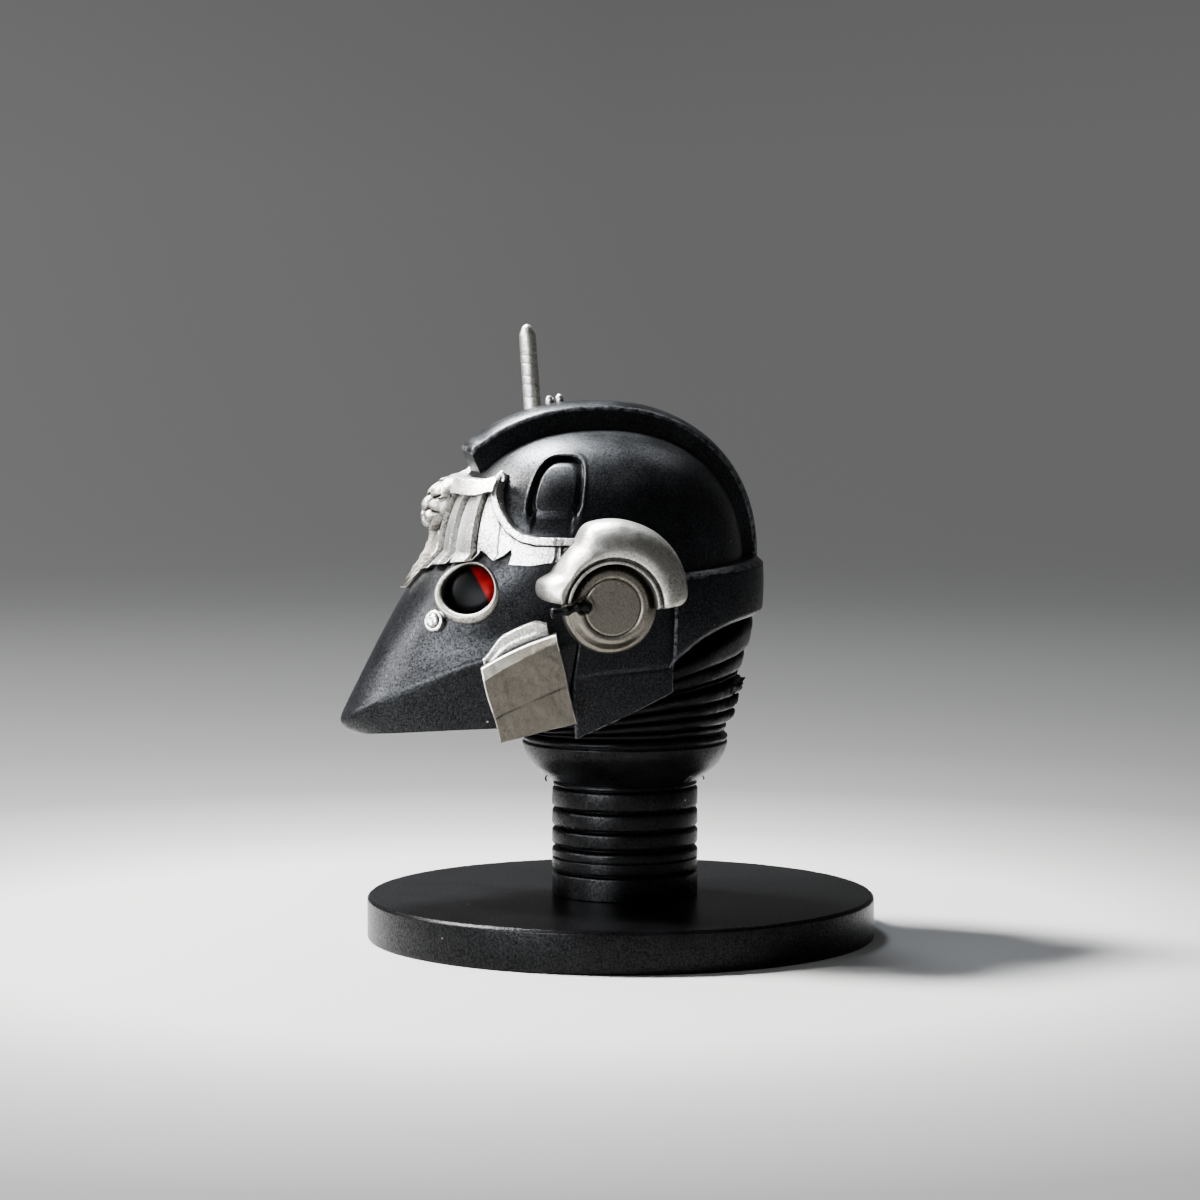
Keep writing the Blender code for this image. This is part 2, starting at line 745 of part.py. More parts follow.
def make_visor(plastic):
    """The hollow face and beak, open above and behind, with its eye holes and neck cut-out."""
    visor = face_solid("visor_beak", 0.0, VISOR_REAR_BEARING, 0.0, plastic)
    hollow_rear = VISOR_REAR_BEARING + HOLLOW_PAST_REAR
    cut(visor, face_solid("face_cutter", -VISOR_WALL, hollow_rear, HOLLOW_PAST_TOP, plastic))
    neck_radius = BELLOWS_FOOT_RADIUS + 3 * GAP + BELLOWS_FOLD_DEPTH
    floor = JOIN_Z - FACE_DROP
    neck = add_turned(
        "neck_cutter",
        [
            (0, floor - 2 * VISOR_WALL),
            (neck_radius, floor - 2 * VISOR_WALL),
            (neck_radius, floor + 4 * VISOR_WALL),
            (0, floor + 4 * VISOR_WALL),
        ],
        plastic,
    )
    cut(visor, neck)
    for side, sign in sides():
        hole = add_turned(
            "eye_cutter_" + side,
            [
                (0, -4 * VISOR_WALL),
                (EYE_HOLE_RADIUS, -4 * VISOR_WALL),
                (EYE_HOLE_RADIUS, 2 * VISOR_WALL),
                (0, 2 * VISOR_WALL),
            ],
            plastic,
            sides=24,
        )
        place, normal = eye_place(sign)
        stand_up(hole, place, normal)
        cut(visor, hole)


def eye_place(sign):
    """Where an eye lies on the face, and which way it looks."""
    height = EQUATOR_Z - EYE_DROP
    place = face_point(EYE_BEARING, height)
    normal = face_normal(EYE_BEARING, height)
    return on_side(place, sign), on_side(normal, sign)


def make_eyes(metal, glass):
    """A ring round each eye hole, a lug with its screw beside it, and a domed lens inside."""
    for side, sign in sides():
        place, normal = eye_place(sign)
        rim = add_turned(
            "eye_rim_" + side,
            [
                (EYE_HOLE_RADIUS, GAP),
                (EYE_RIM_RADIUS, GAP),
                (EYE_RIM_RADIUS, GAP + 0.5 * EYE_RIM_THICK),
                (blend(EYE_HOLE_RADIUS, EYE_RIM_RADIUS, 0.5), GAP + EYE_RIM_THICK),
                (EYE_HOLE_RADIUS, GAP + 0.7 * EYE_RIM_THICK),
            ],
            metal,
            sides=24,
        )
        stand_up(rim, place, normal)
        along = Vector((0, 0, 1)).cross(normal).normalized() * sign
        up = (normal * sign).cross(along)
        turn = math.radians(LUG_ANGLE)
        spot = place + along * math.cos(turn) * LUG_REACH + up * math.sin(turn) * LUG_REACH
        lug = add_turned(
            "eye_lug_" + side,
            [
                (0, GAP),
                (LUG_RADIUS, GAP),
                (LUG_RADIUS, GAP + EYE_RIM_THICK),
                (SCREW_RADIUS, GAP + EYE_RIM_THICK),
                (SCREW_RADIUS, GAP + EYE_RIM_THICK + 0.6 * SCREW_HEIGHT),
                (0.6 * SCREW_RADIUS, GAP + EYE_RIM_THICK + SCREW_HEIGHT),
                (0, GAP + EYE_RIM_THICK + SCREW_HEIGHT),
            ],
            metal,
            sides=16,
        )
        stand_up(lug, spot, normal)
        lens_radius = EYE_HOLE_RADIUS - GAP
        lens_low = -EYE_LENS_DEPTH
        lens = add_turned(
            "eye_lens_" + side,
            [
                (0, lens_low),
                (lens_radius, lens_low),
                (lens_radius, lens_low + 0.5 * EYE_LENS_THICK),
                (0.7 * lens_radius, lens_low + 0.85 * EYE_LENS_THICK),
                (0, lens_low + EYE_LENS_THICK),
            ],
            glass,
            sides=20,
        )
        stand_up(lens, place, normal)


def brow_edges(bearing):
    """Lowest and highest level of the brow plate at a bearing."""
    side = abs(bearing)
    sweep = ease((side - BROW_CLIMB_BEARING) / BROW_CLIMB_SPREAD)
    low = blend(BROW_NOSE_LOW, BROW_ARM_LOW, sweep)
    if side <= BROW_FAN_BEARING:
        high = BROW_TOP
    else:
        share = min((side - BROW_FAN_BEARING) / BROW_SWEEP_BEARING, 1.0)
        drop = math.sqrt(1 - (1 - share) ** 2)
        high = blend(BROW_TOP, BROW_ARM_TOP, drop)
    return EQUATOR_Z + low, EQUATOR_Z + high


def brow_thickness(bearing):
    """The fan is fluted and the arms behind it are plain."""
    side = abs(bearing)
    if side >= BROW_FAN_BEARING:
        return BROW_THICK
    flute = (side / BROW_FAN_BEARING * BROW_FLUTES) % 1.0
    return BROW_THICK + BROW_FLUTE * math.sin(math.pi * flute)


def brow_end(share):
    """Where the brow plate's arm stops at a share of its height: just short of the ear hood."""
    height = EQUATOR_Z + blend(BROW_ARM_LOW, BROW_ARM_TOP, share)
    rise = height - (EQUATOR_Z - EAR_DROP + HOOD_RAISE)
    reach = math.sqrt(max(HOOD_OUTER_RADIUS**2 - rise**2, 0.0))
    return bearing_at(EAR_Y - reach - 2 * GAP, height, GAP + BROW_THICK)


def make_brow(metal):
    """The fluted brow plate, from one ear hood round the forehead to the other."""
    fan = [BROW_FAN_BEARING * k / (4 * BROW_FLUTES) for k in range(4 * BROW_FLUTES + 1)]
    arm = [BROW_FAN_BEARING + BROW_SWEEP_BEARING * s for s in (0.04, 0.18, 0.45)]
    rows = 6
    outer, inner = [], []
    for i in range(rows):
        outer_row, inner_row = [], []
        half = fan + arm + [brow_end(i / (rows - 1))]
        for bearing in [-b for b in reversed(half[1:])] + half:
            low, high = brow_edges(bearing)
            height = blend(low, high, i / (rows - 1))
            outer_row.append(face_point(bearing, height, GAP + brow_thickness(bearing)))
            inner_row.append(face_point(bearing, height, GAP))
        outer.append(outer_row)
        inner.append(inner_row)
    add_plate("brow_plate", outer, inner, metal)


def make_boss(metal):
    """The petalled boss in the middle of the brow plate, its back fitted to the plate."""
    centre_z = EQUATOR_Z + BOSS_RISE
    seat = GAP + BROW_THICK + BROW_FLUTE + GAP
    rings_out = ((1.0, 0.0), (1.0, 0.35), (0.82, 0.72), (0.5, 0.93), (0.2, 1.0))
    around = 3 * BOSS_PETALS
    rings = []
    for share, rise in rings_out:
        ring = []
        for k in range(around):
            turn = 2 * math.pi * k / around
            petal = 1 - 0.07 * (1 - math.cos(BOSS_PETALS * turn)) / 2
            x = BOSS_RADIUS * share * petal * math.cos(turn)
            z = centre_z + BOSS_RADIUS * share * petal * math.sin(turn)
            ring.append(Vector((x, front_y(x, z, seat) - BOSS_HEIGHT * rise, z)))
        rings.append(ring)
    add_loft("brow_boss", rings, metal)


def front_y(x, height, proud):
    """How far forward the face lies at a place, seen from the front."""
    low, high = 0.0, 90.0
    for _ in range(30):
        middle = (low + high) / 2
        if face_point(middle, height, proud).x < abs(x):
            low = middle
        else:
            high = middle
    return face_point(low, height, proud).y


def make_leaf(metal):
    """The pointed leaf that hangs from the boss down the root of the beak."""
    top = EQUATOR_Z + BOSS_RISE - BOSS_RADIUS - GAP
    on_plate = GAP + BROW_THICK + BROW_FLUTE + GAP
    plate_edge = EQUATOR_Z + BROW_NOSE_LOW - GAP
    steps, lanes = 8, 4
    outer, inner = [], []
    for i in range(steps + 1):
        share = i / steps
        height = top - LEAF_LENGTH * share
        half = LEAF_HALF_WIDTH * (0.62 + 0.38 * math.sin(math.pi * min(share * 1.5, 1)))
        half *= 1 - 0.88 * ease((share - 0.45) / 0.55)
        outer_row, inner_row = [], []
        seat = blend(on_plate, GAP, ease((plate_edge - height) / (2 * on_plate)))
        for k in range(lanes + 1):
            x = blend(-half, half, k / lanes)
            rib = 0.45 * LEAF_THICK * (1 - abs(x / half))
            y = front_y(x, height, seat)
            inner_row.append(Vector((x, y, height)))
            outer_row.append(Vector((x, y - 0.55 * LEAF_THICK - rib, height)))
        outer.append(outer_row)
        inner.append(inner_row)
    add_plate("nasal_leaf", outer, inner, metal)


def ear_seat():
    """Where the ear's flat seat lies: just off the highest point of the guard under it."""
    return side_x(HEAD_CENTRE_Y, EQUATOR_Z, GUARD_PROUD) + GAP


def make_ears(metal, plastic):
    """A dished disc under a curved hood, with a short peg in the disc's front edge."""
    height = EQUATOR_Z - EAR_DROP
    seat = ear_seat()
    peg_start = PEG_START * EAR_DISC_RADIUS
    peg_length = HOOD_OUTER_RADIUS + PEG_PAST_HOOD - peg_start
    peg_x = seat + EAR_DISC_HEIGHT + GAP + PEG_RADIUS
    hood_end = (EAR_DISC_RADIUS + GAP) * math.sin(math.radians(HOOD_END))
    peg_z = height + hood_end - PEG_UNDER_HOOD - PEG_RADIUS
    for side, sign in sides():
        disc = add_turned(
            "ear_disc_" + side,
            [
                (0, 0),
                (EAR_DISC_RADIUS - GAP, 0),
                (EAR_DISC_RADIUS, 0.35 * EAR_DISC_HEIGHT),
                (EAR_DISC_RADIUS - 0.25 * MM, 0.62 * EAR_DISC_HEIGHT),
                (EAR_FACE_RADIUS, 0.96 * EAR_DISC_HEIGHT),
                (0.9 * EAR_FACE_RADIUS, EAR_DISC_HEIGHT),
                (0, EAR_DISC_HEIGHT),
            ],
            metal,
        )
        stand_up(disc, Vector((sign * seat, EAR_Y, height)), (sign, 0, 0))
        make_hood("ear_hood_" + side, sign, seat, height, metal)
        peg = add_turned(
            "ear_peg_" + side,
            [(0, 0), (PEG_RADIUS, 0), (PEG_RADIUS, peg_length), (0, peg_length)],
            plastic,
            sides=12,
        )
        stand_up(peg, Vector((sign * peg_x, EAR_Y - peg_start, peg_z)), (0, -1, 0))


def make_hood(name, sign, seat, height, metal):
    """The arched hood over an ear disc, its back fitted to the head form."""
    rings = []
    steps = 22
    rise = seat + HOOD_HEIGHT
    for i in range(steps + 1):
        degrees = blend(HOOD_START, HOOD_END, i / steps)
        turn = math.radians(degrees)
        clear = GUARD_PROUD if degrees > HOOD_STEP_ANGLE else BAND_PROUD_SIDE + 0.5 * GAP
        ring = []
        heading = Vector((math.cos(turn), math.sin(turn)))
        start = Vector((EAR_Y, height)) + heading * (EAR_DISC_RADIUS + GAP)
        end = Vector((EAR_Y, height + HOOD_RAISE)) + heading * HOOD_OUTER_RADIUS
        width = (end - start).length
        section = (
            (0.0, None),
            (0.0, rise - 0.3 * HOOD_LIP),
            (0.5 * HOOD_LIP, rise),
            (HOOD_LIP, rise - 0.05 * HOOD_HEIGHT),
            (blend(HOOD_LIP, width, 0.55), rise - 0.22 * HOOD_HEIGHT),
            (blend(HOOD_LIP, width, 0.90), rise - 0.50 * HOOD_HEIGHT),
            (width, rise - 0.78 * HOOD_HEIGHT),
            (width, None),
        )
        for out, x in section:
            y, z = blend(start, end, out / width)
            seated = side_x(y, z, clear) + GAP
            ring.append(Vector((sign * (seated if x is None else x), y, z)))
        rings.append(ring)
    add_loft(name, rings, metal)


def make_guards(plastic):
    """The curved side walls below the ears, between the visor and the nape band."""
    columns, rows = 7, 6
    rear = head_point(GUARD_REAR_BEARING, EQUATOR_Z).y
    for side, sign in sides():
        outer, inner = [], []
        for i in range(rows):
            outer_row, inner_row = [], []
            for j in range(columns):
                low = EQUATOR_Z - blend(GUARD_LOW_FRONT, GUARD_LOW_REAR, j / (columns - 1))
                level = blend(low, JOIN_Z, i / (rows - 1))
                front = face_point(VISOR_REAR_BEARING, level).y + GAP
                y = blend(front, rear, j / (columns - 1))
                out = side_x(y, level, GUARD_PROUD)
                outer_row.append(Vector((sign * out, y, level)))
                inner_row.append(Vector((sign * (out - GUARD_WALL), y, level)))
            outer.append(outer_row)
            inner.append(inner_row)
        add_plate("cheek_guard_" + side, outer, inner, plastic)


def cheek_frame():
    """The cheek plate's own axes: its middle on the visor, out, forward and up."""
    height = EQUATOR_Z - CHEEK_DROP
    centre = face_point(CHEEK_BEARING, height)
    normal = face_normal(CHEEK_BEARING, height)
    back = Vector((0, 0, 1)).cross(normal).normalized()
    return centre, normal, back, normal.cross(back)


def cheek_stand_off():
    """How far the visor rises above the cheek plate's tangent plane within the plate."""
    centre, normal, back, up = cheek_frame()
    highest = 0.0
    for bearing in range(int(CHEEK_BEARING) - 24, int(VISOR_REAR_BEARING) + 1, 3):
        for k in range(-10, 11):
            point = face_point(bearing, centre.z + 0.07 * k * CHEEK_HEIGHT)
            highest = max(highest, (point - centre).dot(normal))
    return highest


def make_cheeks(metal):
    """A thick slanted plate on each cheek, with a bevelled top edge, over a thin one."""
    centre, normal, back, up = cheek_frame()
    lift = cheek_stand_off() + BACKPLATE_THICK + 2 * GAP
    columns = 7
    for side, sign in sides():
        outline_low, outline_high = [], []
        for j in range(columns):
            across = blend(-0.5, 0.5, j / (columns - 1))
            arch = CHEEK_CROWN * (1 - (2 * across) ** 2)
            top = 0.5 * CHEEK_HEIGHT + CHEEK_TOP_SLOPE * across * CHEEK_LENGTH + arch
            low = -0.5 * CHEEK_HEIGHT + CHEEK_LOW_SLOPE * across * CHEEK_LENGTH
            lean = CHEEK_SKEW * CHEEK_HEIGHT
            outline_high.append((across * CHEEK_LENGTH - 0.5 * lean, top))
            outline_low.append((across * CHEEK_LENGTH + 0.5 * lean, low))

        def spot(place, out):
            point = centre + back * place[0] + up * place[1] + normal * (lift + out)
            return on_side(point, sign)

        def inward(j, drop):
            high, low = outline_high[j], outline_low[j]
            return tuple(h + (b - h) * drop / CHEEK_HEIGHT for h, b in zip(high, low))

        outer = [
            [spot(outline_low[j], CHEEK_THICK) for j in range(columns)],
            [spot(inward(j, CHEEK_BEVEL), CHEEK_THICK) for j in range(columns)],
            [spot(outline_high[j], CHEEK_THICK - CHEEK_BEVEL) for j in range(columns)],
        ]
        inner = [
            [spot(outline_low[j], 0) for j in range(columns)],
            [spot(inward(j, CHEEK_BEVEL), 0) for j in range(columns)],
            [spot(outline_high[j], 0) for j in range(columns)],
        ]
        add_plate("cheek_plate_" + side, outer, inner, metal)
        back_outer, back_inner = [], []
        for drop in (0.5 * CHEEK_HEIGHT, 0.0, -BACKPLATE_SHOW):
            outer_row, inner_row = [], []
            for j in range(1, columns - 1):
                place = inward(j, drop)
                outer_row.append(spot(place, -GAP))
                inner_row.append(spot(place, -GAP - BACKPLATE_THICK))
            back_outer.append(outer_row)
            back_inner.append(inner_row)
        add_plate("cheek_backplate_" + side, back_outer, back_inner, metal)


def make_antenna(metal):
    """A tapered rod on a small foot beside the comb, and two studs on the comb."""
    x = -(COMB_HALF_WIDTH + ROD_SIDE)
    across = (ROD_Y - HEAD_CENTRE_Y) / HEAD_FRONT
    bearing = math.degrees(math.acos(across))
    for _ in range(20):
        radius = dome_radius(x, bearing)
        bearing = math.degrees(math.acos((ROD_Y - HEAD_CENTRE_Y) / radius))
    seat = dome_place(x, bearing, dome_radius(x, bearing) + GAP)
    seat.z += 0.35 * ROD_FOOT_RADIUS
    rod = add_turned(
        "antenna_rod",
        [
            (0, 0),
            (ROD_FOOT_RADIUS, 0),
            (ROD_FOOT_RADIUS, ROD_FOOT_HEIGHT),
            (ROD_RADIUS, ROD_FOOT_HEIGHT),
            (ROD_TIP_RADIUS, 0.93 * ROD_LENGTH),
            (0.5 * ROD_TIP_RADIUS, ROD_LENGTH),
            (0, ROD_LENGTH),
        ],
        metal,
        sides=16,
    )
    lean = math.radians(ROD_LEAN)
    stand_up(rod, seat, (0, -math.sin(lean), math.cos(lean)))
    for name, stud_bearing in zip(("front", "rear"), reversed(STUD_BEARINGS)):
        edge = dome_radius(COMB_HALF_WIDTH, stud_bearing) + GAP + comb_height(stud_bearing)
        stud_x = -STUD_SIDE * COMB_HALF_WIDTH
        top = edge + COMB_CROWN * (1 - STUD_SIDE**2) + GAP
        stud = add_turned(
            "comb_stud_" + name,
            [
                (0, 0),
                (STUD_RADIUS, 0),
                (STUD_RADIUS, 0.5 * STUD_RADIUS),
                (0.6 * STUD_RADIUS, 1.1 * STUD_RADIUS),
                (0, 1.3 * STUD_RADIUS),
            ],
            metal,
            sides=10,
        )
        stand_up(stud, dome_place(stud_x, stud_bearing, top), (0, 0, 1))


def main():
    for old in list(bpy.data.objects):
        bpy.data.objects.remove(old)
    satin = finish("satin_black_plastic", (0.018, 0.018, 0.021), 0.38, 0.0)
    nickel = finish("antique_nickel", (0.46, 0.44, 0.40), 0.34, 1.0)
    rubber = finish("black_bellows", (0.012, 0.012, 0.013), 0.45, 0.0)
    gloss = finish("stand_black", (0.015, 0.015, 0.016), 0.30, 0.0)
    ruby = finish("ruby_lens", (0.62, 0.01, 0.01), 0.12, 0.0)
    make_stand(gloss)
    make_collar(gloss)
    make_bellows(rubber)
    make_skull(satin)
    make_comb(satin)
    make_band(satin)
    make_visor(satin)
    make_brow(nickel)
    make_boss(nickel)
    make_leaf(nickel)
    make_eyes(nickel, ruby)
    make_ears(nickel, satin)
    make_guards(satin)
    make_cheeks(nickel)
    make_antenna(nickel)


main()
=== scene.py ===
"""The looks of a miniature beaked costume helmet on its display stand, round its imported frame.

Lengths are millimetres here, and add_piece turns them into metres. The helmet faces -Y, its left
side is +X, and the origin is the centre of the base's underside.
"""

import math

import bmesh
import bpy
from mathutils import Matrix, Vector, noise
from mathutils.bvhtree import BVHTree


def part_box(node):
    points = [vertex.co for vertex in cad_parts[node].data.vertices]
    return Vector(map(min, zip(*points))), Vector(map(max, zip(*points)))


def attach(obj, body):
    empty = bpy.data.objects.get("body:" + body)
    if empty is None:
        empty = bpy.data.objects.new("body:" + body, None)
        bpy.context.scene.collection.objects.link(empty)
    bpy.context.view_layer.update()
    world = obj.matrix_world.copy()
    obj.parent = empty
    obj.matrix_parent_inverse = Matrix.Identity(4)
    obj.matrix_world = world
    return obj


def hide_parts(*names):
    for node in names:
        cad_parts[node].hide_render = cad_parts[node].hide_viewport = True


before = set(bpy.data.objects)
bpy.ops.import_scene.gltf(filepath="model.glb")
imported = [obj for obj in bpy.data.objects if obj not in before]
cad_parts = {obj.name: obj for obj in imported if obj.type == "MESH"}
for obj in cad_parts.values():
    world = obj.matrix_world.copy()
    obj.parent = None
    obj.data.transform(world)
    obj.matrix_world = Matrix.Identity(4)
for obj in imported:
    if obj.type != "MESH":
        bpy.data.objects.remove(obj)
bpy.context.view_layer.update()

# The photographer's set: a camera at the height of the helmet's chin, a pale sweep of paper, and soft
# boxes above. The paper's colour holds painted light: it is painted darker with distance and towards
# the right as a painted fall-off of the key light, and its far floor and wall glow with painted light.
# The camera's angle was fitted to the base's ellipse.
CAMERA_AZIMUTH = math.radians(78.5)
CAMERA_ELEVATION = math.radians(4.6)
CAMERA_DISTANCE = 520.0
CAMERA_ANGLE = math.radians(15.5)
CAMERA_TARGET = Vector((-0.5, -2.4, 39.8))
MM = 0.001

toward_camera = Vector(
    (
        math.sin(CAMERA_AZIMUTH) * math.cos(CAMERA_ELEVATION),
        -math.cos(CAMERA_AZIMUTH) * math.cos(CAMERA_ELEVATION),
        math.sin(CAMERA_ELEVATION),
    )
)
picture_right = Vector((math.cos(CAMERA_AZIMUTH), math.sin(CAMERA_AZIMUTH), 0))
picture_up = toward_camera.cross(picture_right)


def from_camera(right, up, near):
    """A direction given as the photographer sees it, turned into the model's axes."""
    return (picture_right * right + picture_up * up + toward_camera * near).normalized()


camera_data = bpy.data.cameras.new("camera")
camera_data.lens_unit = "FOV"
camera_data.angle = CAMERA_ANGLE
camera_data.clip_start = 0.01
camera = bpy.data.objects.new("camera", camera_data)
bpy.context.scene.collection.objects.link(camera)
camera.rotation_mode = "QUATERNION"
camera.location = (CAMERA_TARGET + toward_camera * CAMERA_DISTANCE) * MM
camera.rotation_quaternion = toward_camera.to_track_quat("Z", "Y")
bpy.context.scene.camera = camera


def soft_box(name, direction, distance, size, watts, tint, lights_paper):
    """An area light that looks at the helmet from a direction, with lengths in metres."""
    data = bpy.data.lights.new(name, "AREA")
    data.shape = "RECTANGLE"
    data.size, data.size_y = size
    data.energy = watts
    data.color = tint
    lamp = bpy.data.objects.new(name, data)
    bpy.context.scene.collection.objects.link(lamp)
    lamp.location = Vector((0, 0, 0.04)) + direction * distance
    lamp.rotation_mode = "QUATERNION"
    lamp.rotation_quaternion = direction.to_track_quat("Z", "Y")
    lamp.visible_diffuse = lights_paper


SOFT_BOXES = (
    ("key_box", (-0.64, 0.76, -0.12), 0.60, (0.12, 0.12), 16.5, (1.0, 0.99, 0.97), True),
    ("crown_glint", (-0.27, 0.90, -0.34), 0.55, (0.11, 0.11), 32.0, (0.88, 0.94, 1.0), False),
    ("rear_glint", (0.36, 0.86, -0.37), 0.55, (0.10, 0.10), 0.32, (0.92, 0.96, 1.0), False),
    ("side_sheen", (-0.68, 0.13, 0.72), 0.80, (0.44, 0.30), 21.0, (0.88, 0.93, 1.0), False),
    ("nose_strip", (-0.91, 0.33, 0.10), 0.80, (0.24, 0.24), 9.0, (0.93, 0.95, 1.0), False),
    ("front_fill", (0.10, 0.50, 0.86), 1.10, (0.60, 0.40), 0.2, (1.0, 0.99, 0.97), True),
)
for name, seen_at, *values in SOFT_BOXES:
    soft_box(name, from_camera(*seen_at), *values)

world = bpy.data.worlds.new("studio")
bpy.context.scene.world = world
world.use_nodes = True
world.node_tree.nodes["Background"].inputs["Color"].default_value = (0.75, 0.77, 0.80, 1)
world.node_tree.nodes["Background"].inputs["Strength"].default_value = 0.03


def new_material(name, colour, roughness, metallic=0.0):
    """A material, its tree and its shader, with the values that are the same all over."""
    material = bpy.data.materials.new(name)
    material.use_nodes = True
    tree = material.node_tree
    shader = tree.nodes["Principled BSDF"]
    shader.inputs["Base Color"].default_value = (*colour, 1)
    shader.inputs["Roughness"].default_value = roughness
    shader.inputs["Metallic"].default_value = metallic
    return material, tree, shader


def add_node(tree, kind, sockets=None, **settings):
    """One shader node. A socket's value may be a constant or another node's output."""
    made = tree.nodes.new(kind)
    for key, value in settings.items():
        setattr(made, key, value)
    for key, value in (sockets or {}).items():
        if isinstance(value, bpy.types.NodeSocket):
            tree.links.new(value, made.inputs[key])
        else:
            made.inputs[key].default_value = value
    return made


def ramp(tree, value, stops):
    """A colour ramp through (place, colour) stops."""
    made = add_node(tree, "ShaderNodeValToRGB", {"Fac": value})
    keys = made.color_ramp.elements
    while len(keys) < len(stops):
        keys.new(1.0)
    for key, (place, colour) in zip(keys, stops):
        key.position = place
        key.color = (*colour, 1) if len(colour) == 3 else colour
    return made.outputs["Color"]


def grey(level):
    return (level, level, level)


def maths(tree, operation, *values, clamp=False):
    """The result of a sum. Each value may be a constant or another node's output."""
    sockets = dict(enumerate(values))
    return add_node(tree, "ShaderNodeMath", sockets, operation=operation, use_clamp=clamp).outputs[0]


def blend(tree, share, first, second, kind="MIX"):
    """A colour made of two."""
    sockets = {0: share, 6: first, 7: second}
    return add_node(tree, "ShaderNodeMix", sockets, data_type="RGBA", blend_type=kind).outputs[2]


def remap(tree, value, low, high, to_low=0.0, to_high=1.0):
    """A value's range stretched over another."""
    sockets = {0: value, 1: low, 2: high, 3: to_low, 4: to_high}
    return add_node(tree, "ShaderNodeMapRange", sockets).outputs[0]


def noise_at(tree, place, scale, detail, roughness=0.5):
    """The values of a noise with so many features a metre."""
    sockets = {"Vector": place, "Scale": scale, "Detail": detail, "Roughness": roughness}
    return add_node(tree, "ShaderNodeTexNoise", sockets).outputs["Fac"]


def bumped(tree, strength, distance, height, normal=None):
    """A normal bent by a height, with the depth in metres."""
    sockets = {"Strength": strength, "Distance": distance, "Height": height}
    if normal is not None:
        sockets["Normal"] = normal
    return add_node(tree, "ShaderNodeBump", sockets).outputs["Normal"]


def wire(tree, shader, **outputs):
    """Joins node outputs to the shader's inputs, whose names have spaces in place of underscores."""
    for name, output in outputs.items():
        tree.links.new(output, shader.inputs[name.replace("_", " ")])


SWEEP_FLAT = 0.9
SWEEP_RISE = 0.9
SWEEP_BEND = 0.3
# Painted light on the paper: its colour is pale near the helmet and darker further out, a painted pool of the
# key light, whose middle PAINTED_POOL_SHIFT moves to the left so the right side is painted darker.
PAPER_PAINTED_POOL = (
    (0.0, 0.86),
    (0.068, 0.86),
    (0.096, 0.50),
    (0.114, 0.36),
    (0.145, 0.20),
    (0.20, 0.13),
    (0.28, 0.095),
    (0.50, 0.05),
    (0.90, 0.02),
)
# Painted light on the far floor and wall: an emitted glow that grows with distance, painted darker up the
# wall and towards the right, where less light from the left would fall.
WALL_PAINTED_GLOW = ((0.0, 0.0), (0.25, 0.0), (0.50, 0.06), (0.90, 0.180), (1.0, 0.180))
WALL_PAINTED_SHADE = ((0.0, 1.0), (0.10, 0.95), (0.20, 0.75), (0.35, 0.52), (1.0, 0.30))
PAINTED_POOL_SHIFT = (0.0, 0.008, 0.0)

paper, tree, shader = new_material("sweep_paper", grey(0.8), 0.9)
place = add_node(tree, "ShaderNodeTexCoord").outputs["Object"]
place = add_node(tree, "ShaderNodeVectorMath", {0: place, 1: PAINTED_POOL_SHIFT}, operation="ADD").outputs[0]
apart = add_node(tree, "ShaderNodeSeparateXYZ", {"Vector": place})
away = add_node(tree, "ShaderNodeVectorMath", {0: place}, operation="LENGTH").outputs["Value"]
# tone is the paper's painted pool of light.
tone, painted_glow = (ramp(tree, away, [(far, grey(v)) for far, v in table]) for table in (PAPER_PAINTED_POOL, WALL_PAINTED_GLOW))
painted_wall_shade = ramp(tree, apart.outputs["Z"], [(high, grey(value)) for high, value in WALL_PAINTED_SHADE])
painted_side_shade = remap(tree, apart.outputs["Y"], -0.18, 0.18, 1.04, 0.66)
painted_glow = {0: blend(tree, 1.0, painted_glow, painted_wall_shade, "MULTIPLY"), "Scale": painted_side_shade}
painted_glow = add_node(tree, "ShaderNodeVectorMath", painted_glow, operation="SCALE").outputs[0]
tooth = bumped(tree, 0.12, 0.0002, noise_at(tree, place, 1800.0, 4.0))
wire(tree, shader, Base_Color=tone, Emission_Color=painted_glow, Normal=tooth)
shader.inputs["Emission Strength"].default_value = 1.0
shader.inputs["Specular IOR Level"].default_value = 0.18

sweep = bmesh.new()
profile = [(0.15, 0.0), (0.4, 0.0), (SWEEP_FLAT - SWEEP_BEND, 0.0)]
for step in range(1, 9):
    bend = step * math.pi / 16
    across = SWEEP_FLAT - SWEEP_BEND + SWEEP_BEND * math.sin(bend)
    profile.append((across, SWEEP_BEND - SWEEP_BEND * math.cos(bend)))
profile.append((SWEEP_FLAT, SWEEP_BEND + SWEEP_RISE))
turns = [k * math.pi / 48 for k in range(96)]
rings = [[sweep.verts.new((r * math.cos(a), r * math.sin(a), z)) for a in turns] for r, z in profile]
middle = sweep.verts.new((0, 0, 0))
for k in range(96):
    sweep.faces.new((middle, rings[0][k], rings[0][(k + 1) % 96]))
    for inside, outside in zip(rings, rings[1:]):
        sweep.faces.new((inside[k], outside[k], outside[(k + 1) % 96], inside[(k + 1) % 96]))
mesh = bpy.data.meshes.new("floor_sweep")
sweep.to_mesh(mesh)
sweep.free()
mesh.shade_smooth()
mesh.materials.append(paper)
floor = bpy.data.objects.new("floor_sweep", mesh)
bpy.context.scene.collection.objects.link(floor)

# The base: a disc turned from black acrylic sheet, its face polished and its rim chamfered, so
# that the edge catches the light.
BASE_HIGH = Vector(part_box("stand_base")[1]) / MM
BASE_RADIUS = BASE_HIGH.x
BASE_THICK = BASE_HIGH.z
BASE_CHAMFER = 0.35


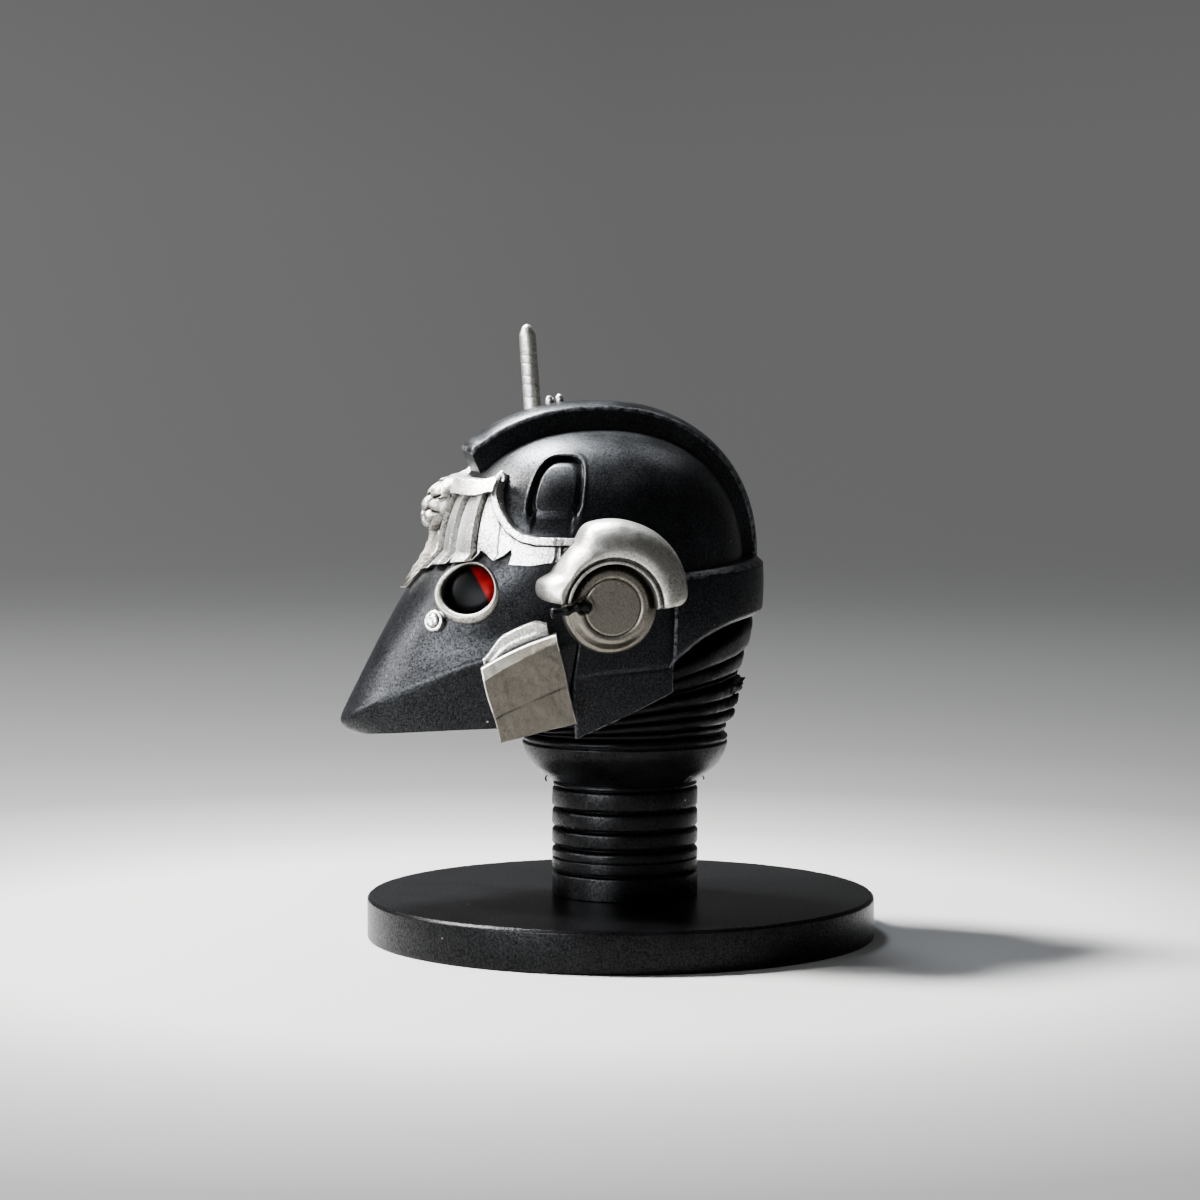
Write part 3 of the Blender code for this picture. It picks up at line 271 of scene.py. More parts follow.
def add_piece(name, points, faces, material, nodes, sharp=None, wear_and_sheen=None):
    """A closed smooth mesh on the helmet's one body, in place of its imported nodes."""
    mesh = bpy.data.meshes.new(name)
    mesh.from_pydata([tuple(Vector(p) * MM) for p in points], [], faces)
    mesh.attributes.new("wear_and_sheen", "FLOAT", "POINT").data.foreach_set("value", wear_and_sheen or [0.0] * len(points))
    work = bmesh.new()
    work.from_mesh(mesh)
    bmesh.ops.remove_doubles(work, verts=work.verts, dist=1e-8)
    bmesh.ops.recalc_face_normals(work, faces=work.faces)
    work.to_mesh(mesh)
    work.free()
    mesh.shade_smooth()
    if sharp:
        mesh.set_sharp_from_angle(angle=math.radians(sharp))
    mesh.materials.append(material)
    piece = bpy.data.objects.new(name, mesh)
    bpy.context.scene.collection.objects.link(piece)
    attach(piece, "root")
    if nodes:
        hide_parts(*nodes)
    return piece


def add_pair(name, points, faces, material, node, sharp=None, wear_and_sheen=None):
    """A piece on the left and its mirror image on the right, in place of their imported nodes."""
    for side, sign in (("left", 1), ("right", -1)):
        mirrored = [(p[0] * sign, p[1], p[2]) for p in points]
        nodes = [node + "_" + side] if node else []
        add_piece(name + "_" + side, mirrored, faces, material, nodes, sharp, wear_and_sheen)


def mix(a, b, share):
    return a + (b - a) * share


def ease(share):
    share = min(max(share, 0.0), 1.0)
    return share * share * (3 - 2 * share)


def bell(offset, width):
    return math.exp(-((offset / width) ** 2))


def rounded(corners, steps=5):
    """A closed outline from (across, up, fillet) corners, each turned through a small arc."""
    outline = []
    for k, (across, up, fillet) in enumerate(corners):
        here = Vector((across, up))
        if not fillet:
            outline.append(here)
            continue
        before = Vector(corners[k - 1][:2]) - here
        after = Vector(corners[(k + 1) % len(corners)][:2]) - here
        reach = min(fillet, 0.5 * before.length, 0.5 * after.length)
        start, end = here + before.normalized() * reach, here + after.normalized() * reach
        for s in range(steps + 1):
            t = s / steps
            outline.append(start * (1 - t) ** 2 + here * 2 * t * (1 - t) + end * t**2)
    return outline


def turned(outline, sides=160, waver=None):
    """Points and faces of a solid turned about Z. waver changes a radius at an angle and height."""
    points, rings = [], []
    for across, up in outline:
        if across < 1e-6:
            rings.append([len(points)] * sides)
            points.append(Vector((0, 0, up)))
            continue
        rings.append(list(range(len(points), len(points) + sides)))
        for k in range(sides):
            turn = 2 * math.pi * k / sides
            radius = across + (waver(turn, up) if waver else 0.0)
            points.append(Vector((radius * math.cos(turn), radius * math.sin(turn), up)))
    faces = []
    for ring, after in zip(rings, rings[1:] + rings[:1]):
        for k in range(sides):
            corners = [ring[k], ring[(k + 1) % sides], after[(k + 1) % sides], after[k]]
            kept = [c for n, c in enumerate(corners) if c not in corners[:n]]
            if len(kept) > 2:
                faces.append(tuple(kept))
    return points, faces


def black_plastic(name, tone, roughness, fleck_sparkle_level, dust, mottling=1.0, specular=0.07):
    """Black plastic: pale flecks in its skin, partly a painted sparkle, dust grains, edges painted lighter as
    wear and as painted highlight, and a faint orange peel.
    """
    material, tree, shader = new_material(name, tone, roughness)
    place = add_node(tree, "ShaderNodeTexCoord").outputs["Object"]
    mottle = noise_at(tree, place, 260.0, 5.0)
    cells = add_node(tree, "ShaderNodeTexVoronoi", {"Vector": place, "Scale": 620.0})
    chosen = ramp(tree, cells.outputs["Color"], [(0.0, grey(0)), (0.80, grey(0)), (0.82, grey(1))])
    grain = ramp(tree, cells.outputs["Distance"], [(0.0, grey(1)), (0.055, grey(1)), (0.085, grey(0))])
    lint = maths(tree, "MULTIPLY", maths(tree, "MULTIPLY", chosen, grain), dust)
    # The edge mask paints rubbed edges lighter: wear, and partly a painted highlight along edges and the nape
    # ledge.
    edge = add_node(tree, "ShaderNodeAttribute", attribute_name="wear_and_sheen").outputs["Fac"]
    patchy = noise_at(tree, place, 1700.0, 4.0)
    rubbed_and_sheen = ramp(tree, patchy, [(0.0, grey(0)), (0.38, grey(0)), (0.62, grey(1))])
    # Pale flecks in the colour: grain in the plastic, and partly a painted sparkle of the light.
    fleck = noise_at(tree, place, 6000.0, 2.0)
    flecks_and_sparkle = ramp(tree, fleck, [(0.0, grey(0)), (0.57, grey(0)), (0.70, grey(fleck_sparkle_level))])
    darker, paler = (tuple(scale * c for c in tone) for scale in (0.7, 1.4))
    body = ramp(tree, mottle, [(0.35, darker), (0.65, paler)])
    body = blend(tree, flecks_and_sparkle, body, (0.13, 0.14, 0.16, 1))
    body = blend(tree, maths(tree, "MULTIPLY", rubbed_and_sheen, edge), body, (0.115, 0.12, 0.135, 1))
    body = blend(tree, lint, body, (0.42, 0.41, 0.40, 1))
    gloss = remap(tree, mottle, 0.3, 0.7, roughness * (1 - 0.15 * mottling), roughness * (1 + 0.2 * mottling))
    skin = noise_at(tree, place, 3600.0, 4.0, 0.7)
    sparks = remap(tree, skin, 0.36, 0.66, 0.25 * specular, 2.1 * specular)
    relief = bumped(tree, 0.5, 0.00006, lint, bumped(tree, 0.45, 0.00006, skin))
    wire(tree, shader, Base_Color=body, Roughness=gloss, Specular_IOR_Level=sparks, Normal=relief)
    return material


acrylic = black_plastic("base_black_acrylic", (0.003, 0.003, 0.0035), 0.28, 0.01, 0.3, 0.1)
outline = rounded(
    [
        (0, 0, 0),
        (BASE_RADIUS, 0, 0.25),
        (BASE_RADIUS, BASE_THICK - BASE_CHAMFER, 0.1),
        (BASE_RADIUS - BASE_CHAMFER, BASE_THICK, 0.1),
        (0.5 * BASE_RADIUS, BASE_THICK, 0),
        (0, BASE_THICK, 0),
    ],
    3,
)
points, faces = turned(outline, 256)
add_piece("base_disc", points, faces, acrylic, ["stand_base"], 50)

# The post: a moulded black peg with fat rounded rings, glued to the base a little off its centre.
# Two nubs of flash are left where the mould halves met at its foot.
POST_LOW, POST_HIGH = (Vector(corner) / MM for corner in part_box("stand_post"))
NECK_Y = (POST_LOW.y + POST_HIGH.y) / 2
POST_RADIUS = POST_HIGH.x
RING_COLUMNS = ("top", "groove", "groove_depth")
POST_RINGS = (
    (3.05, 0.30, 0.50),
    (4.55, 0.12, 0.22),
    (6.05, 0.42, 0.75),
    (8.25, 0.34, 0.70),
    (10.55, 0.34, 0.75),
    (13.05, 0.30, 0.60),
)

corners = [(0, 0, 0), (POST_RADIUS, 0, 0.15)]
for row in POST_RINGS:
    ring = dict(zip(RING_COLUMNS, row))
    shoulder = min(0.55, 2.4 * ring["groove_depth"])
    corners.append((POST_RADIUS, ring["top"] - ring["groove"], shoulder))
    corners.append((POST_RADIUS - ring["groove_depth"], ring["top"] - 0.6 * ring["groove"], 0.08))
    corners.append((POST_RADIUS - ring["groove_depth"], ring["top"] - 0.3 * ring["groove"], 0.08))
    corners.append((POST_RADIUS, ring["top"], shoulder))
post_top = POST_HIGH.z - POST_LOW.z + 0.3
corners += [(POST_RADIUS - 0.3, post_top, 0.15), (0, post_top, 0)]


def post_waver(turn, up):
    """Slightly uneven rings, and the two flash nubs at the foot."""
    uneven = 0.06 * noise.noise(Vector((3 * math.cos(turn), 3 * math.sin(turn), 0.7 * up)))
    seam = max(math.cos(turn - math.pi / 2), math.cos(turn + math.pi / 2))
    nub = 0.55 * max(0.0, (seam - 0.985) / 0.015) * max(0.0, 1 - abs(up - 1.0) / 0.7)
    return uneven + nub


moulded = black_plastic("neck_black_plastic", (0.004, 0.004, 0.0045), 0.30, 0.02, 0.7)
points, faces = turned(rounded(corners, 4), 160, post_waver)
points = [p + Vector((0, NECK_Y, POST_LOW.z - 0.3)) for p in points]
add_piece("ribbed_post", points, faces, moulded, ["stand_post"], 60)

# The neck collar: a moulded dish whose rim holds the bellows' foot. Its edge was trimmed by hand,
# so the rim is uneven and scraps of flash hang under it.
COLLAR_LOW, COLLAR_HIGH = (Vector(corner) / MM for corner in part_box("neck_collar"))
COLLAR_RADIUS = COLLAR_HIGH.x
COLLAR_FOOT = 9.3
COLLAR_LIP = 1.3
COLLAR_DISH = 1.2
rise = COLLAR_HIGH.z - COLLAR_LOW.z
spread = COLLAR_RADIUS - COLLAR_FOOT


def collar_waver(turn, up):
    """A hand-trimmed rim."""
    near_rim = ease((up - 0.7 * rise) / (0.3 * rise))
    return near_rim * 0.16 * noise.noise(Vector((5 * math.cos(turn), 5 * math.sin(turn), up)))


outline = rounded(
    [
        (0, -0.3, 0),
        (COLLAR_FOOT - 0.5, -0.3, 0.2),
        (COLLAR_FOOT, 0.15, 0.3),
        (COLLAR_FOOT + 0.50 * spread, 0.22 * rise, 1.2),
        (COLLAR_FOOT + 0.86 * spread, 0.54 * rise, 1.2),
        (COLLAR_RADIUS - 0.05, 0.80 * rise, 0.5),
        (COLLAR_RADIUS - 0.30, 0.84 * rise, 0.1),
        (COLLAR_RADIUS - 0.05, 0.90 * rise, 0.2),
        (COLLAR_RADIUS - 0.25, rise, 0.25),
        (COLLAR_RADIUS - COLLAR_LIP, rise, 0.2),
        (COLLAR_RADIUS - COLLAR_LIP, rise - COLLAR_DISH, 0.2),
        (0, rise - COLLAR_DISH, 0),
    ]
)
points, faces = turned(outline, 160, collar_waver)
points = [p + Vector((0, NECK_Y, COLLAR_LOW.z)) for p in points]
add_piece("neck_dish", points, faces, moulded, ["neck_collar"], 60)


def lofted(rings):
    """Points and faces of a solid skinned over closed rings of equal length and capped at its ends."""
    size = len(rings[0])
    points = [p for ring in rings for p in ring]
    faces = [tuple(range(size)), tuple(range(len(points) - size, len(points)))]
    for i in range(len(rings) - 1):
        for k in range(size):
            a, b = i * size + k, i * size + (k + 1) % size
            faces.append((a, b, b + size, a + size))
    return points, faces


SCRAPS = ((-105, 0.55, 0.9), (-98, 0.3, 0.5), (72, 0.3, 0.5))
for count, (bearing, width, drop) in enumerate(SCRAPS):
    turn = math.radians(bearing)
    out = Vector((math.cos(turn), math.sin(turn), 0))
    along = Vector((-math.sin(turn), math.cos(turn), 0))
    root = Vector((0, NECK_Y, COLLAR_LOW.z + 0.1)) + out * (COLLAR_FOOT - 0.15)
    rings = []
    for share in (0, 0.25, 0.5, 0.75, 1):
        half = 0.5 * width * (1 - 0.7 * share)
        sag = root + Vector((0, 0, -drop * share)) + out * 0.25 * math.sin(2.5 * share)
        corners = ((-half, -0.08), (half, -0.08), (half, 0.08), (-half, 0.08))
        rings.append([sag + along * side + out * thick for side, thick in corners])
    points, faces = lofted(rings)
    add_piece("collar_scrap_%d" % (count + 1), points, faces, moulded, [])

# The bellows: black moulded folds that fan open towards the nape. They are thick and soft-edged
# near the helmet and thinner below, and the moulding has torn at the back of two of them.
FOLD_COLUMNS = ("low", "high", "out", "torn")
FOLDS = (
    (0.015, 0.075, -0.30, 0.0),
    (0.100, 0.190, 0.10, 0.3),
    (0.210, 0.310, 0.00, 0.9),
    (0.335, 0.455, 0.10, 1.0),
    (0.495, 0.530, -0.60, 0.2),
    (0.550, 0.710, -0.15, 0.0),
    (0.740, 1.000, 0.25, 0.0),
)
FOLD_PROFILE = (
    (-0.02, -1.0),
    (0.0, -0.35),
    (0.10, -0.08),
    (0.28, 0.0),
    (0.72, 0.0),
    (0.90, -0.08),
    (1.0, -0.35),
    (1.02, -1.0),
)
BELLOWS_HIGH = Vector(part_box("neck_bellows")[1]) / MM
BELLOWS_WALL = 1.2
FOOT_RADIUS = 12.0
FOOT_SEAT = COLLAR_HIGH.z + 0.1
FRONT_RISE = 1.9
FOLD_DEPTH = 1.15
BELLOWS_SIDES = 240


def bellows_ring(share, proud, torn=0.0):
    """A tilted ring of the bellows, standing proud of the folds' line by a distance."""
    front = -FOOT_RADIUS - proud
    back = mix(FOOT_RADIUS, BELLOWS_HIGH.y - NECK_Y, share**0.7) + proud
    low = FOOT_SEAT + FRONT_RISE * share
    high = mix(FOOT_SEAT, BELLOWS_HIGH.z, share)
    half, middle = (back - front) / 2, (back + front) / 2
    ring = []
    for k in range(BELLOWS_SIDES):
        turn = 2 * math.pi * k / BELLOWS_SIDES
        uneven = 0.16 * noise.noise(Vector((4 * math.cos(turn), 4 * math.sin(turn), 9 * share)))
        at_back = max(0.0, math.cos(turn - 0.25)) ** 9
        ragged = noise.noise(Vector((26 * math.cos(turn), 26 * math.sin(turn), 33 * share)))
        uneven += 1.1 * torn * at_back * ragged
        radius = half + uneven
        y = NECK_Y + middle + radius * math.cos(turn)
        z = mix(low, high, ((1 + math.cos(turn)) / 2) ** mix(0.45, 1.0, share**2)) + 0.5 * uneven
        ring.append(Vector((radius * math.sin(turn), y, z)))
    return ring


def level_ring(radius, height):
    """A level circle about the neck."""
    turns = [2 * math.pi * k / BELLOWS_SIDES for k in range(BELLOWS_SIDES)]
    return [Vector((radius * math.sin(a), NECK_Y + radius * math.cos(a), height)) for a in turns]


foot = COLLAR_RADIUS - COLLAR_LIP - 0.1
foot_level = COLLAR_HIGH.z - COLLAR_DISH
rings = [level_ring(foot, foot_level), level_ring(foot, FOOT_SEAT)]
for row in FOLDS:
    fold = dict(zip(FOLD_COLUMNS, row))
    for up, out in FOLD_PROFILE:
        share = fold["low"] + (fold["high"] - fold["low"]) * up
        rings.append(bellows_ring(share, fold["out"] - 0.1 + FOLD_DEPTH * out, fold["torn"]))
inset = FOLD_DEPTH + BELLOWS_WALL
rings += [bellows_ring(share, -inset) for share in (1.0, 0.5)]
rings.append(level_ring(FOOT_RADIUS - inset, foot_level))
points = [p for ring in rings for p in ring]
faces = []
for i in range(len(rings)):
    for j in range(BELLOWS_SIDES):
        a, b = i * BELLOWS_SIDES, ((i + 1) % len(rings)) * BELLOWS_SIDES
        k = (j + 1) % BELLOWS_SIDES
        faces.append((a + j, a + k, b + k, b + j))
bellows_black = black_plastic("bellows_black_plastic", (0.004, 0.004, 0.0045), 0.33, 0.02, 0.8)
add_piece("neck_folds", points, faces, bellows_black, ["neck_bellows"])

# The skull shell: a hollow moulded dome in satin black. A rounded pillow is pressed into each
# temple inside a narrow moat, and the open lower edge is hidden by the plates round it.
EQUATOR = COLLAR_HIGH.z + 20.4
HEAD_Y = -3.3
HEAD_WIDE = 15.5
HEAD_FRONT = 18.0
HEAD_BACK = 17.5
CROWN = 15.8
DOME_POWER = 2.25
JAW_DEPTH = 20.0
JAW_TAPER = 0.07
SHELL_WALL = 1.3
SHELL_STEP = 112.0
JOIN = EQUATOR + 1.6
PRESSING_BEARING = 66.4
PRESSING_RISE = 8.9
PRESSING_HALF_LENGTH = 2.75
PRESSING_HALF_HEIGHT = 3.85
MOAT_DEPTH = 0.55
PILLOW_DROP = 0.22


def signed_power(value, exponent):
    return math.copysign(abs(value) ** exponent, value)


def plan_point(bearing, height, reach, width, power):
    """A point of a head outline. Bearing 0 is the front and 90 the left side, in degrees."""
    turn = math.radians(bearing)
    across = width * signed_power(math.sin(turn), 2 / power)
    along = HEAD_Y - reach * signed_power(math.cos(turn), 2 / power)
    return Vector((across, along, height))


def level_share(height, proud=0.0):
    """How large the head outline is at a height, as a share of its size at the equator."""
    if height > EQUATOR:
        up = min((height - EQUATOR) / (CROWN + proud), 1.0)
        return (1 - up**DOME_POWER) ** (1 / DOME_POWER)
    return 1 - JAW_TAPER * ((EQUATOR - height) / JAW_DEPTH) ** 2


def head_point(bearing, height, proud=0.0):
    """A point of the head form, standing proud of it by a distance."""
    share = level_share(height, proud)
    front = abs((bearing + 180) % 360 - 180) < 90
    reach = ((HEAD_FRONT if front else HEAD_BACK) + proud) * share
    return plan_point(bearing, height, reach, (HEAD_WIDE + proud) * share, DOME_POWER)


def pressing(bearing, height):
    """How deep the temple pressing lies below the dome at a place on either side."""
    up = (height - EQUATOR - PRESSING_RISE) / PRESSING_HALF_HEIGHT
    if abs(up) > 1.4:
        return 0.0
    degrees = abs((bearing + 180) % 360 - 180) - PRESSING_BEARING
    across = math.radians(degrees) * HEAD_WIDE * level_share(height) / PRESSING_HALF_LENGTH
    across /= 1 - 0.12 * up
    size = (abs(across) ** 3.2 + abs(up) ** 3.0) ** (1 / 3.1)
    wall = ease((1.0 - size) / 0.07)
    pillow = ease((0.86 - size) / 0.16)
    lip = 0.10 * bell(size - 1.06, 0.05)
    depth = wall * mix(MOAT_DEPTH, PILLOW_DROP * (1 - 0.6 * ease(1 - size)), pillow)
    return depth - lip


def shell_rim(bearing):
    """Height of the shell's lower edge: high over the face and ears, low inside the nape band."""
    side = abs((bearing + 180) % 360 - 180)
    return mix(JOIN + 0.1, EQUATOR - 4.0, ease((side - SHELL_STEP + 0.5) / 1.0))


def close_steps(start, end, fine_start, fine_end, fine, coarse):
    """Places from start to end, close together within the fine stretch."""
    places, here = [start], start
    while here < end - 1e-6:
        here += fine if fine_start <= here < fine_end else coarse
        places.append(min(here, end))
    return places


half = close_steps(0.0, 180.0, 50.0, 83.0, 0.45, 2.5)
bearings = [-b for b in reversed(half[1:-1])] + half
shell_rows = close_steps(0.0, 1.0, 0.17, 0.58, 0.0075, 0.04)


def shell_point(bearing, share, proud):
    """A point of the shell from its rim, at share 0, to the crown, at share 1."""
    rim = shell_rim(bearing)
    start = math.asin((max(rim - EQUATOR, 0.0) / CROWN) ** (DOME_POWER / 2))
    turn = mix(start, math.pi / 2, share)
    height = EQUATOR + (CROWN + proud) * math.sin(turn) ** (2 / DOME_POWER)
    height += min(rim - EQUATOR, 0.0) * max(1 - 4 * share, 0.0)
    if proud == 0.0:
        proud = -pressing(bearing, height)
    return head_point(bearing, height, proud)


outer = [[shell_point(b, s, 0.0) for b in bearings] for s in shell_rows[:-1]]
inner = [[shell_point(b, s / 10, -SHELL_WALL) for b in bearings] for s in range(10)]
count = len(bearings)
points = [p for row in outer for p in row] + [p for row in inner for p in row]
crown_out = len(points)
points += [Vector((0, HEAD_Y, EQUATOR + CROWN)), Vector((0, HEAD_Y, EQUATOR + CROWN - SHELL_WALL))]
under = len(outer) * count
faces = []
for j in range(count):
    k = (j + 1) % count
    for rows, start in ((len(outer), 0), (len(inner), under)):
        for i in range(rows - 1):
            a, b = start + i * count, start + (i + 1) * count
            faces.append((a + j, a + k, b + k, b + j))
    top, low = (len(outer) - 1) * count, under + (len(inner) - 1) * count
    faces += [(top + j, top + k, crown_out), (low + k, low + j, crown_out + 1), (j, under + j, under + k, k)]
satin = black_plastic("satin_black_plastic", (0.0035, 0.004, 0.0052), 0.32, 0.18, 1.0, 1.0, 0.13)
add_piece("dome_shell", points, faces, satin, ["skull_shell"], 60)

# The comb: a raised band moulded over the crown, with steep sides, a softly rounded top and a
# blunt front end. Its edges are the brightest lines of the black helmet, partly from a painted highlight on
# them.
COMB_HALF = 3.3
COMB_HEIGHT = 2.5
COMB_REAR_HEIGHT = 1.6
COMB_CROWN = 0.75
COMB_EDGE = 0.42
COMB_FRONT = 143.5
COMB_LEAN = 4.0
COMB_STOP = EQUATOR - 2.2


def dome_radius(across, bearing):
    """Distance from the head's centre line to the dome in the upright plane at a distance across."""
    turn = math.radians(bearing)
    reach = HEAD_FRONT if math.cos(turn) < 0 else HEAD_BACK
    low, high = 0.0, 3 * HEAD_FRONT
    for _ in range(30):
        middle = (low + high) / 2
        plan = (abs(across) / HEAD_WIDE) ** DOME_POWER + abs(middle * math.cos(turn) / reach) ** DOME_POWER
        if plan + abs(middle * math.sin(turn) / CROWN) ** DOME_POWER < 1:
            low = middle
        else:
            high = middle
    return low


def dome_place(across, bearing, radius):
    """The point at a bearing (0 back, 90 crown, 180 front) and radius in the plane at across."""
    turn = math.radians(bearing)
    return Vector((across, HEAD_Y + radius * math.cos(turn), EQUATOR + radius * math.sin(turn)))


def stations(length, edge, step):
    """Places from 0 to 1 along a plate with how far its rounded edges have risen at each."""
    fillet = [(edge / length * (1 - math.cos(a)), math.sin(a)) for a in (0, 0.25, 0.52, 0.79, 1.05, 1.31)]
    inner = max(2, round((length - 2 * edge) / step))
    flat = [(mix(edge, length - edge, k / inner) / length, 1.0) for k in range(inner + 1)]
    return fillet + flat + [(1 - p, lift) for p, lift in reversed(fillet)]


def plate(top, bottom, lengths, edge, steps):
    """A plate with rounded edges between two surfaces of (u, v) from 0 to 1.

    It comes as points, faces and an edge mask for wear and painted sheen: 1 along the edges and 0 elsewhere.
    """
    us, vs = (stations(length, edge, step) for length, step in zip(lengths, steps))
    over, beneath, wear_and_sheen = [], [], []
    for u, lift_u in us:
        for v, lift_v in vs:
            high, low = top(u, v), bottom(u, v)
            lift = min(lift_u, lift_v)
            sink = min((high - low).length * 0.9, edge * (1 - lift))
            over.append(high + (low - high).normalized() * sink)
            beneath.append(low)
            wear_and_sheen.append(1.0 if 0.2 < lift < 0.99 else 0.0)
    columns, rows = len(vs), len(us)
    under = rows * columns
    faces = []
    for i in range(rows - 1):
        for j in range(columns - 1):
            a, b = i * columns + j, (i + 1) * columns + j
            faces.append((a, a + 1, b + 1, b))
            faces.append((under + a, under + b, under + b + 1, under + a + 1))
    for i in range(rows - 1):
        for j in (0, columns - 1):
            a, b = i * columns + j, (i + 1) * columns + j
            faces.append((a, b, under + b, under + a))
    for j in range(columns - 1):
        for i in (0, rows - 1):
            a = i * columns + j
            faces.append((a, a + 1, under + a + 1, under + a))
    return over + beneath, faces, wear_and_sheen + [0.0] * len(beneath)


comb_rear = math.degrees(math.asin((COMB_STOP - EQUATOR) / HEAD_BACK))


def comb_under(u, v):
    bearing = mix(comb_rear, COMB_FRONT, u)
    across = mix(-COMB_HALF, COMB_HALF, v)
    return dome_place(across, bearing, dome_radius(across, bearing) - 0.1)


def comb_top(u, v):
    bearing = mix(comb_rear, COMB_FRONT, u) - COMB_LEAN * u**6
    across = mix(-COMB_HALF, COMB_HALF, v)
    height = mix(COMB_REAR_HEIGHT, COMB_HEIGHT, ease(bearing / 80)) - 0.8 * ease(-bearing / 5)
    bead = 0.16 * bell(u - 0.978, 0.010)
    crown = COMB_CROWN * (1 - (across / COMB_HALF) ** 2)
    return dome_place(across, bearing, dome_radius(COMB_HALF, bearing) + height + crown + bead)


points, faces, wear_and_sheen = plate(comb_top, comb_under, (48.0, 2 * COMB_HALF), COMB_EDGE, (0.4, 0.4))
add_piece("crown_comb", points, faces, satin, ["crest_comb"], 70, wear_and_sheen)

# The nape band: a thick moulded guard round the back of the head, with a narrow ledge along its
# top that is painted lighter, as rubbed flash and as a painted highlight. It is thin at the ears and
# stands well proud at the back.
BAND_START = 107.4
BAND_TOP = (EQUATOR + 0.8, EQUATOR - 0.6)
BAND_LOW = (EQUATOR - 6.3, EQUATOR - 11.6)
BAND_PROUD = (2.35, 1.2)
BAND_LEDGE = 0.9


def band_side(u):
    """How far round from the nape to an ear a place on the band is, from 0 to 1."""
    return abs(2 * u - 1)


def band_top(u, v):
    """The band's outer face: v runs up from the lower edge, and its last stretch is the ledge."""
    side = band_side(u)
    bearing = mix(BAND_START, 360 - BAND_START, u)
    top, low = mix(*BAND_TOP, side), mix(*BAND_LOW, side**4.0)
    proud = mix(*BAND_PROUD, ease(side * 1.2 - 0.2))
    ledge = BAND_LEDGE * min(1.0, proud / BAND_PROUD[0] + 0.25)
    shoulder = top - 0.85 * ledge
    if v < 0.82:
        up = v / 0.82
        belly = 0.10 * math.sin(math.pi * up) - 0.75 * ease((0.13 - up) / 0.13)
        return head_point(bearing, mix(low, shoulder, up), proud + belly)
    over = (v - 0.82) / 0.18
    ledge += 0.10 * noise.noise(Vector((bearing, 9 * over, 3))) * math.sin(math.pi * over)
    return head_point(bearing, mix(shoulder, top, over), proud - ledge * over)


def band_under(u, v):
    side = band_side(u)
    bearing = mix(BAND_START, 360 - BAND_START, u)
    top, low = mix(*BAND_TOP, side), mix(*BAND_LOW, side**4.0)
    return head_point(bearing, mix(low, top, min(v / 0.82, 1.0) if v < 0.82 else 1.0), 0.05)


points, faces, wear_and_sheen = plate(band_top, band_under, (44.0, 8.5), 0.30, (0.45, 0.25))
# The ledge joins the edge mask, so its top is painted lighter: rubbed flash, and a painted highlight.
for index, point in enumerate(points[: len(points) // 2]):
    side = abs(math.degrees(math.atan2(point.x, point.y - HEAD_Y))) / (180 - BAND_START)
    if point.z > mix(*BAND_TOP, min(side, 1.0)) - 0.72:
        wear_and_sheen[index] = 1.0
add_piece("nape_guard", points, faces, satin, ["nape_band"], 50, wear_and_sheen)

# The visor: one hollow moulding from the brow down to a long downturned beak, with a soft crease
# along each side and a flat floor. Each eye is a round hole through its wall.
FACE_DROP = 21.4
BEAK_REACH = 12.1
VISOR_REAR = 77.0
VISOR_WALL = 1.2
FACE_COLUMNS = ("drop_nose", "drop_rear", "reach", "width", "power")
FACE_SECTIONS = (
    (0.000, 0.000, 0.000, 0.997, 2.25),
    (0.200, 0.140, 0.310, 0.992, 2.08),
    (0.450, 0.290, 0.585, 0.988, 1.86),
    (0.700, 0.400, 0.820, 0.982, 1.70),
    (0.850, 0.460, 0.950, 0.978, 1.66),
    (0.925, 0.510, 1.000, 0.972, 1.66),
    (0.975, 0.680, 0.960, 0.915, 1.76),
    (1.000, 0.930, 0.860, 0.840, 1.90),
)
CREASE_ROW = 5
CREASE_BULGE = 0.15
SIDE_ROW = 2.6
SIDE_HOLLOW = 0.30


def face_section(row):
    """The face's section values at a row, which may lie between two sections of the table."""
    last = len(FACE_SECTIONS) - 1
    row = min(max(row, 0.0), float(last))
    low = min(int(row), last - 1)
    t = row - low
    near = [FACE_SECTIONS[min(max(low + k, 0), last)] for k in (-1, 0, 1, 2)]
    values = []
    for p, q, r, s in zip(*near):
        rise_in, rise_out = (r - p) / 2, (s - q) / 2
        values.append(
            q * (2 * t**3 - 3 * t**2 + 1)
            + rise_in * (t**3 - 2 * t**2 + t)
            + r * (3 * t**2 - 2 * t**3)
            + rise_out * (t**3 - t**2)
        )
    return dict(zip(FACE_COLUMNS, values))


def face_row_point(bearing, row, proud=0.0):
    """A point of the face at a row of its section table."""
    section = face_section(row)
    rear = ease(abs(bearing) / VISOR_REAR)
    drop = FACE_DROP * mix(section["drop_nose"], section["drop_rear"], rear)
    lift = -proud * ease((row - CREASE_ROW) / 2)
    slope = CREASE_BULGE * bell(row - CREASE_ROW, 0.9) - SIDE_HOLLOW * bell(row - SIDE_ROW, 1.1)
    slope *= 1 - ease((abs(bearing) - 55) / 15)
    reach = HEAD_FRONT * level_share(JOIN) + BEAK_REACH * section["reach"] + proud + 0.2 * slope
    width = HEAD_WIDE * section["width"] + proud + slope
    return plan_point(bearing, JOIN - drop + lift, reach, width, section["power"])


def face_point(bearing, height, proud=0.0):
    """A point of the face or, above the brow join, of the dome, at a height."""
    if height >= JOIN:
        return head_point(bearing, height, proud)
    low, high = 0.0, float(len(FACE_SECTIONS) - 1)
    for _ in range(22):
        middle = (low + high) / 2
        if face_row_point(bearing, middle).z > height:
            low = middle
        else:
            high = middle
    return face_row_point(bearing, low, proud)


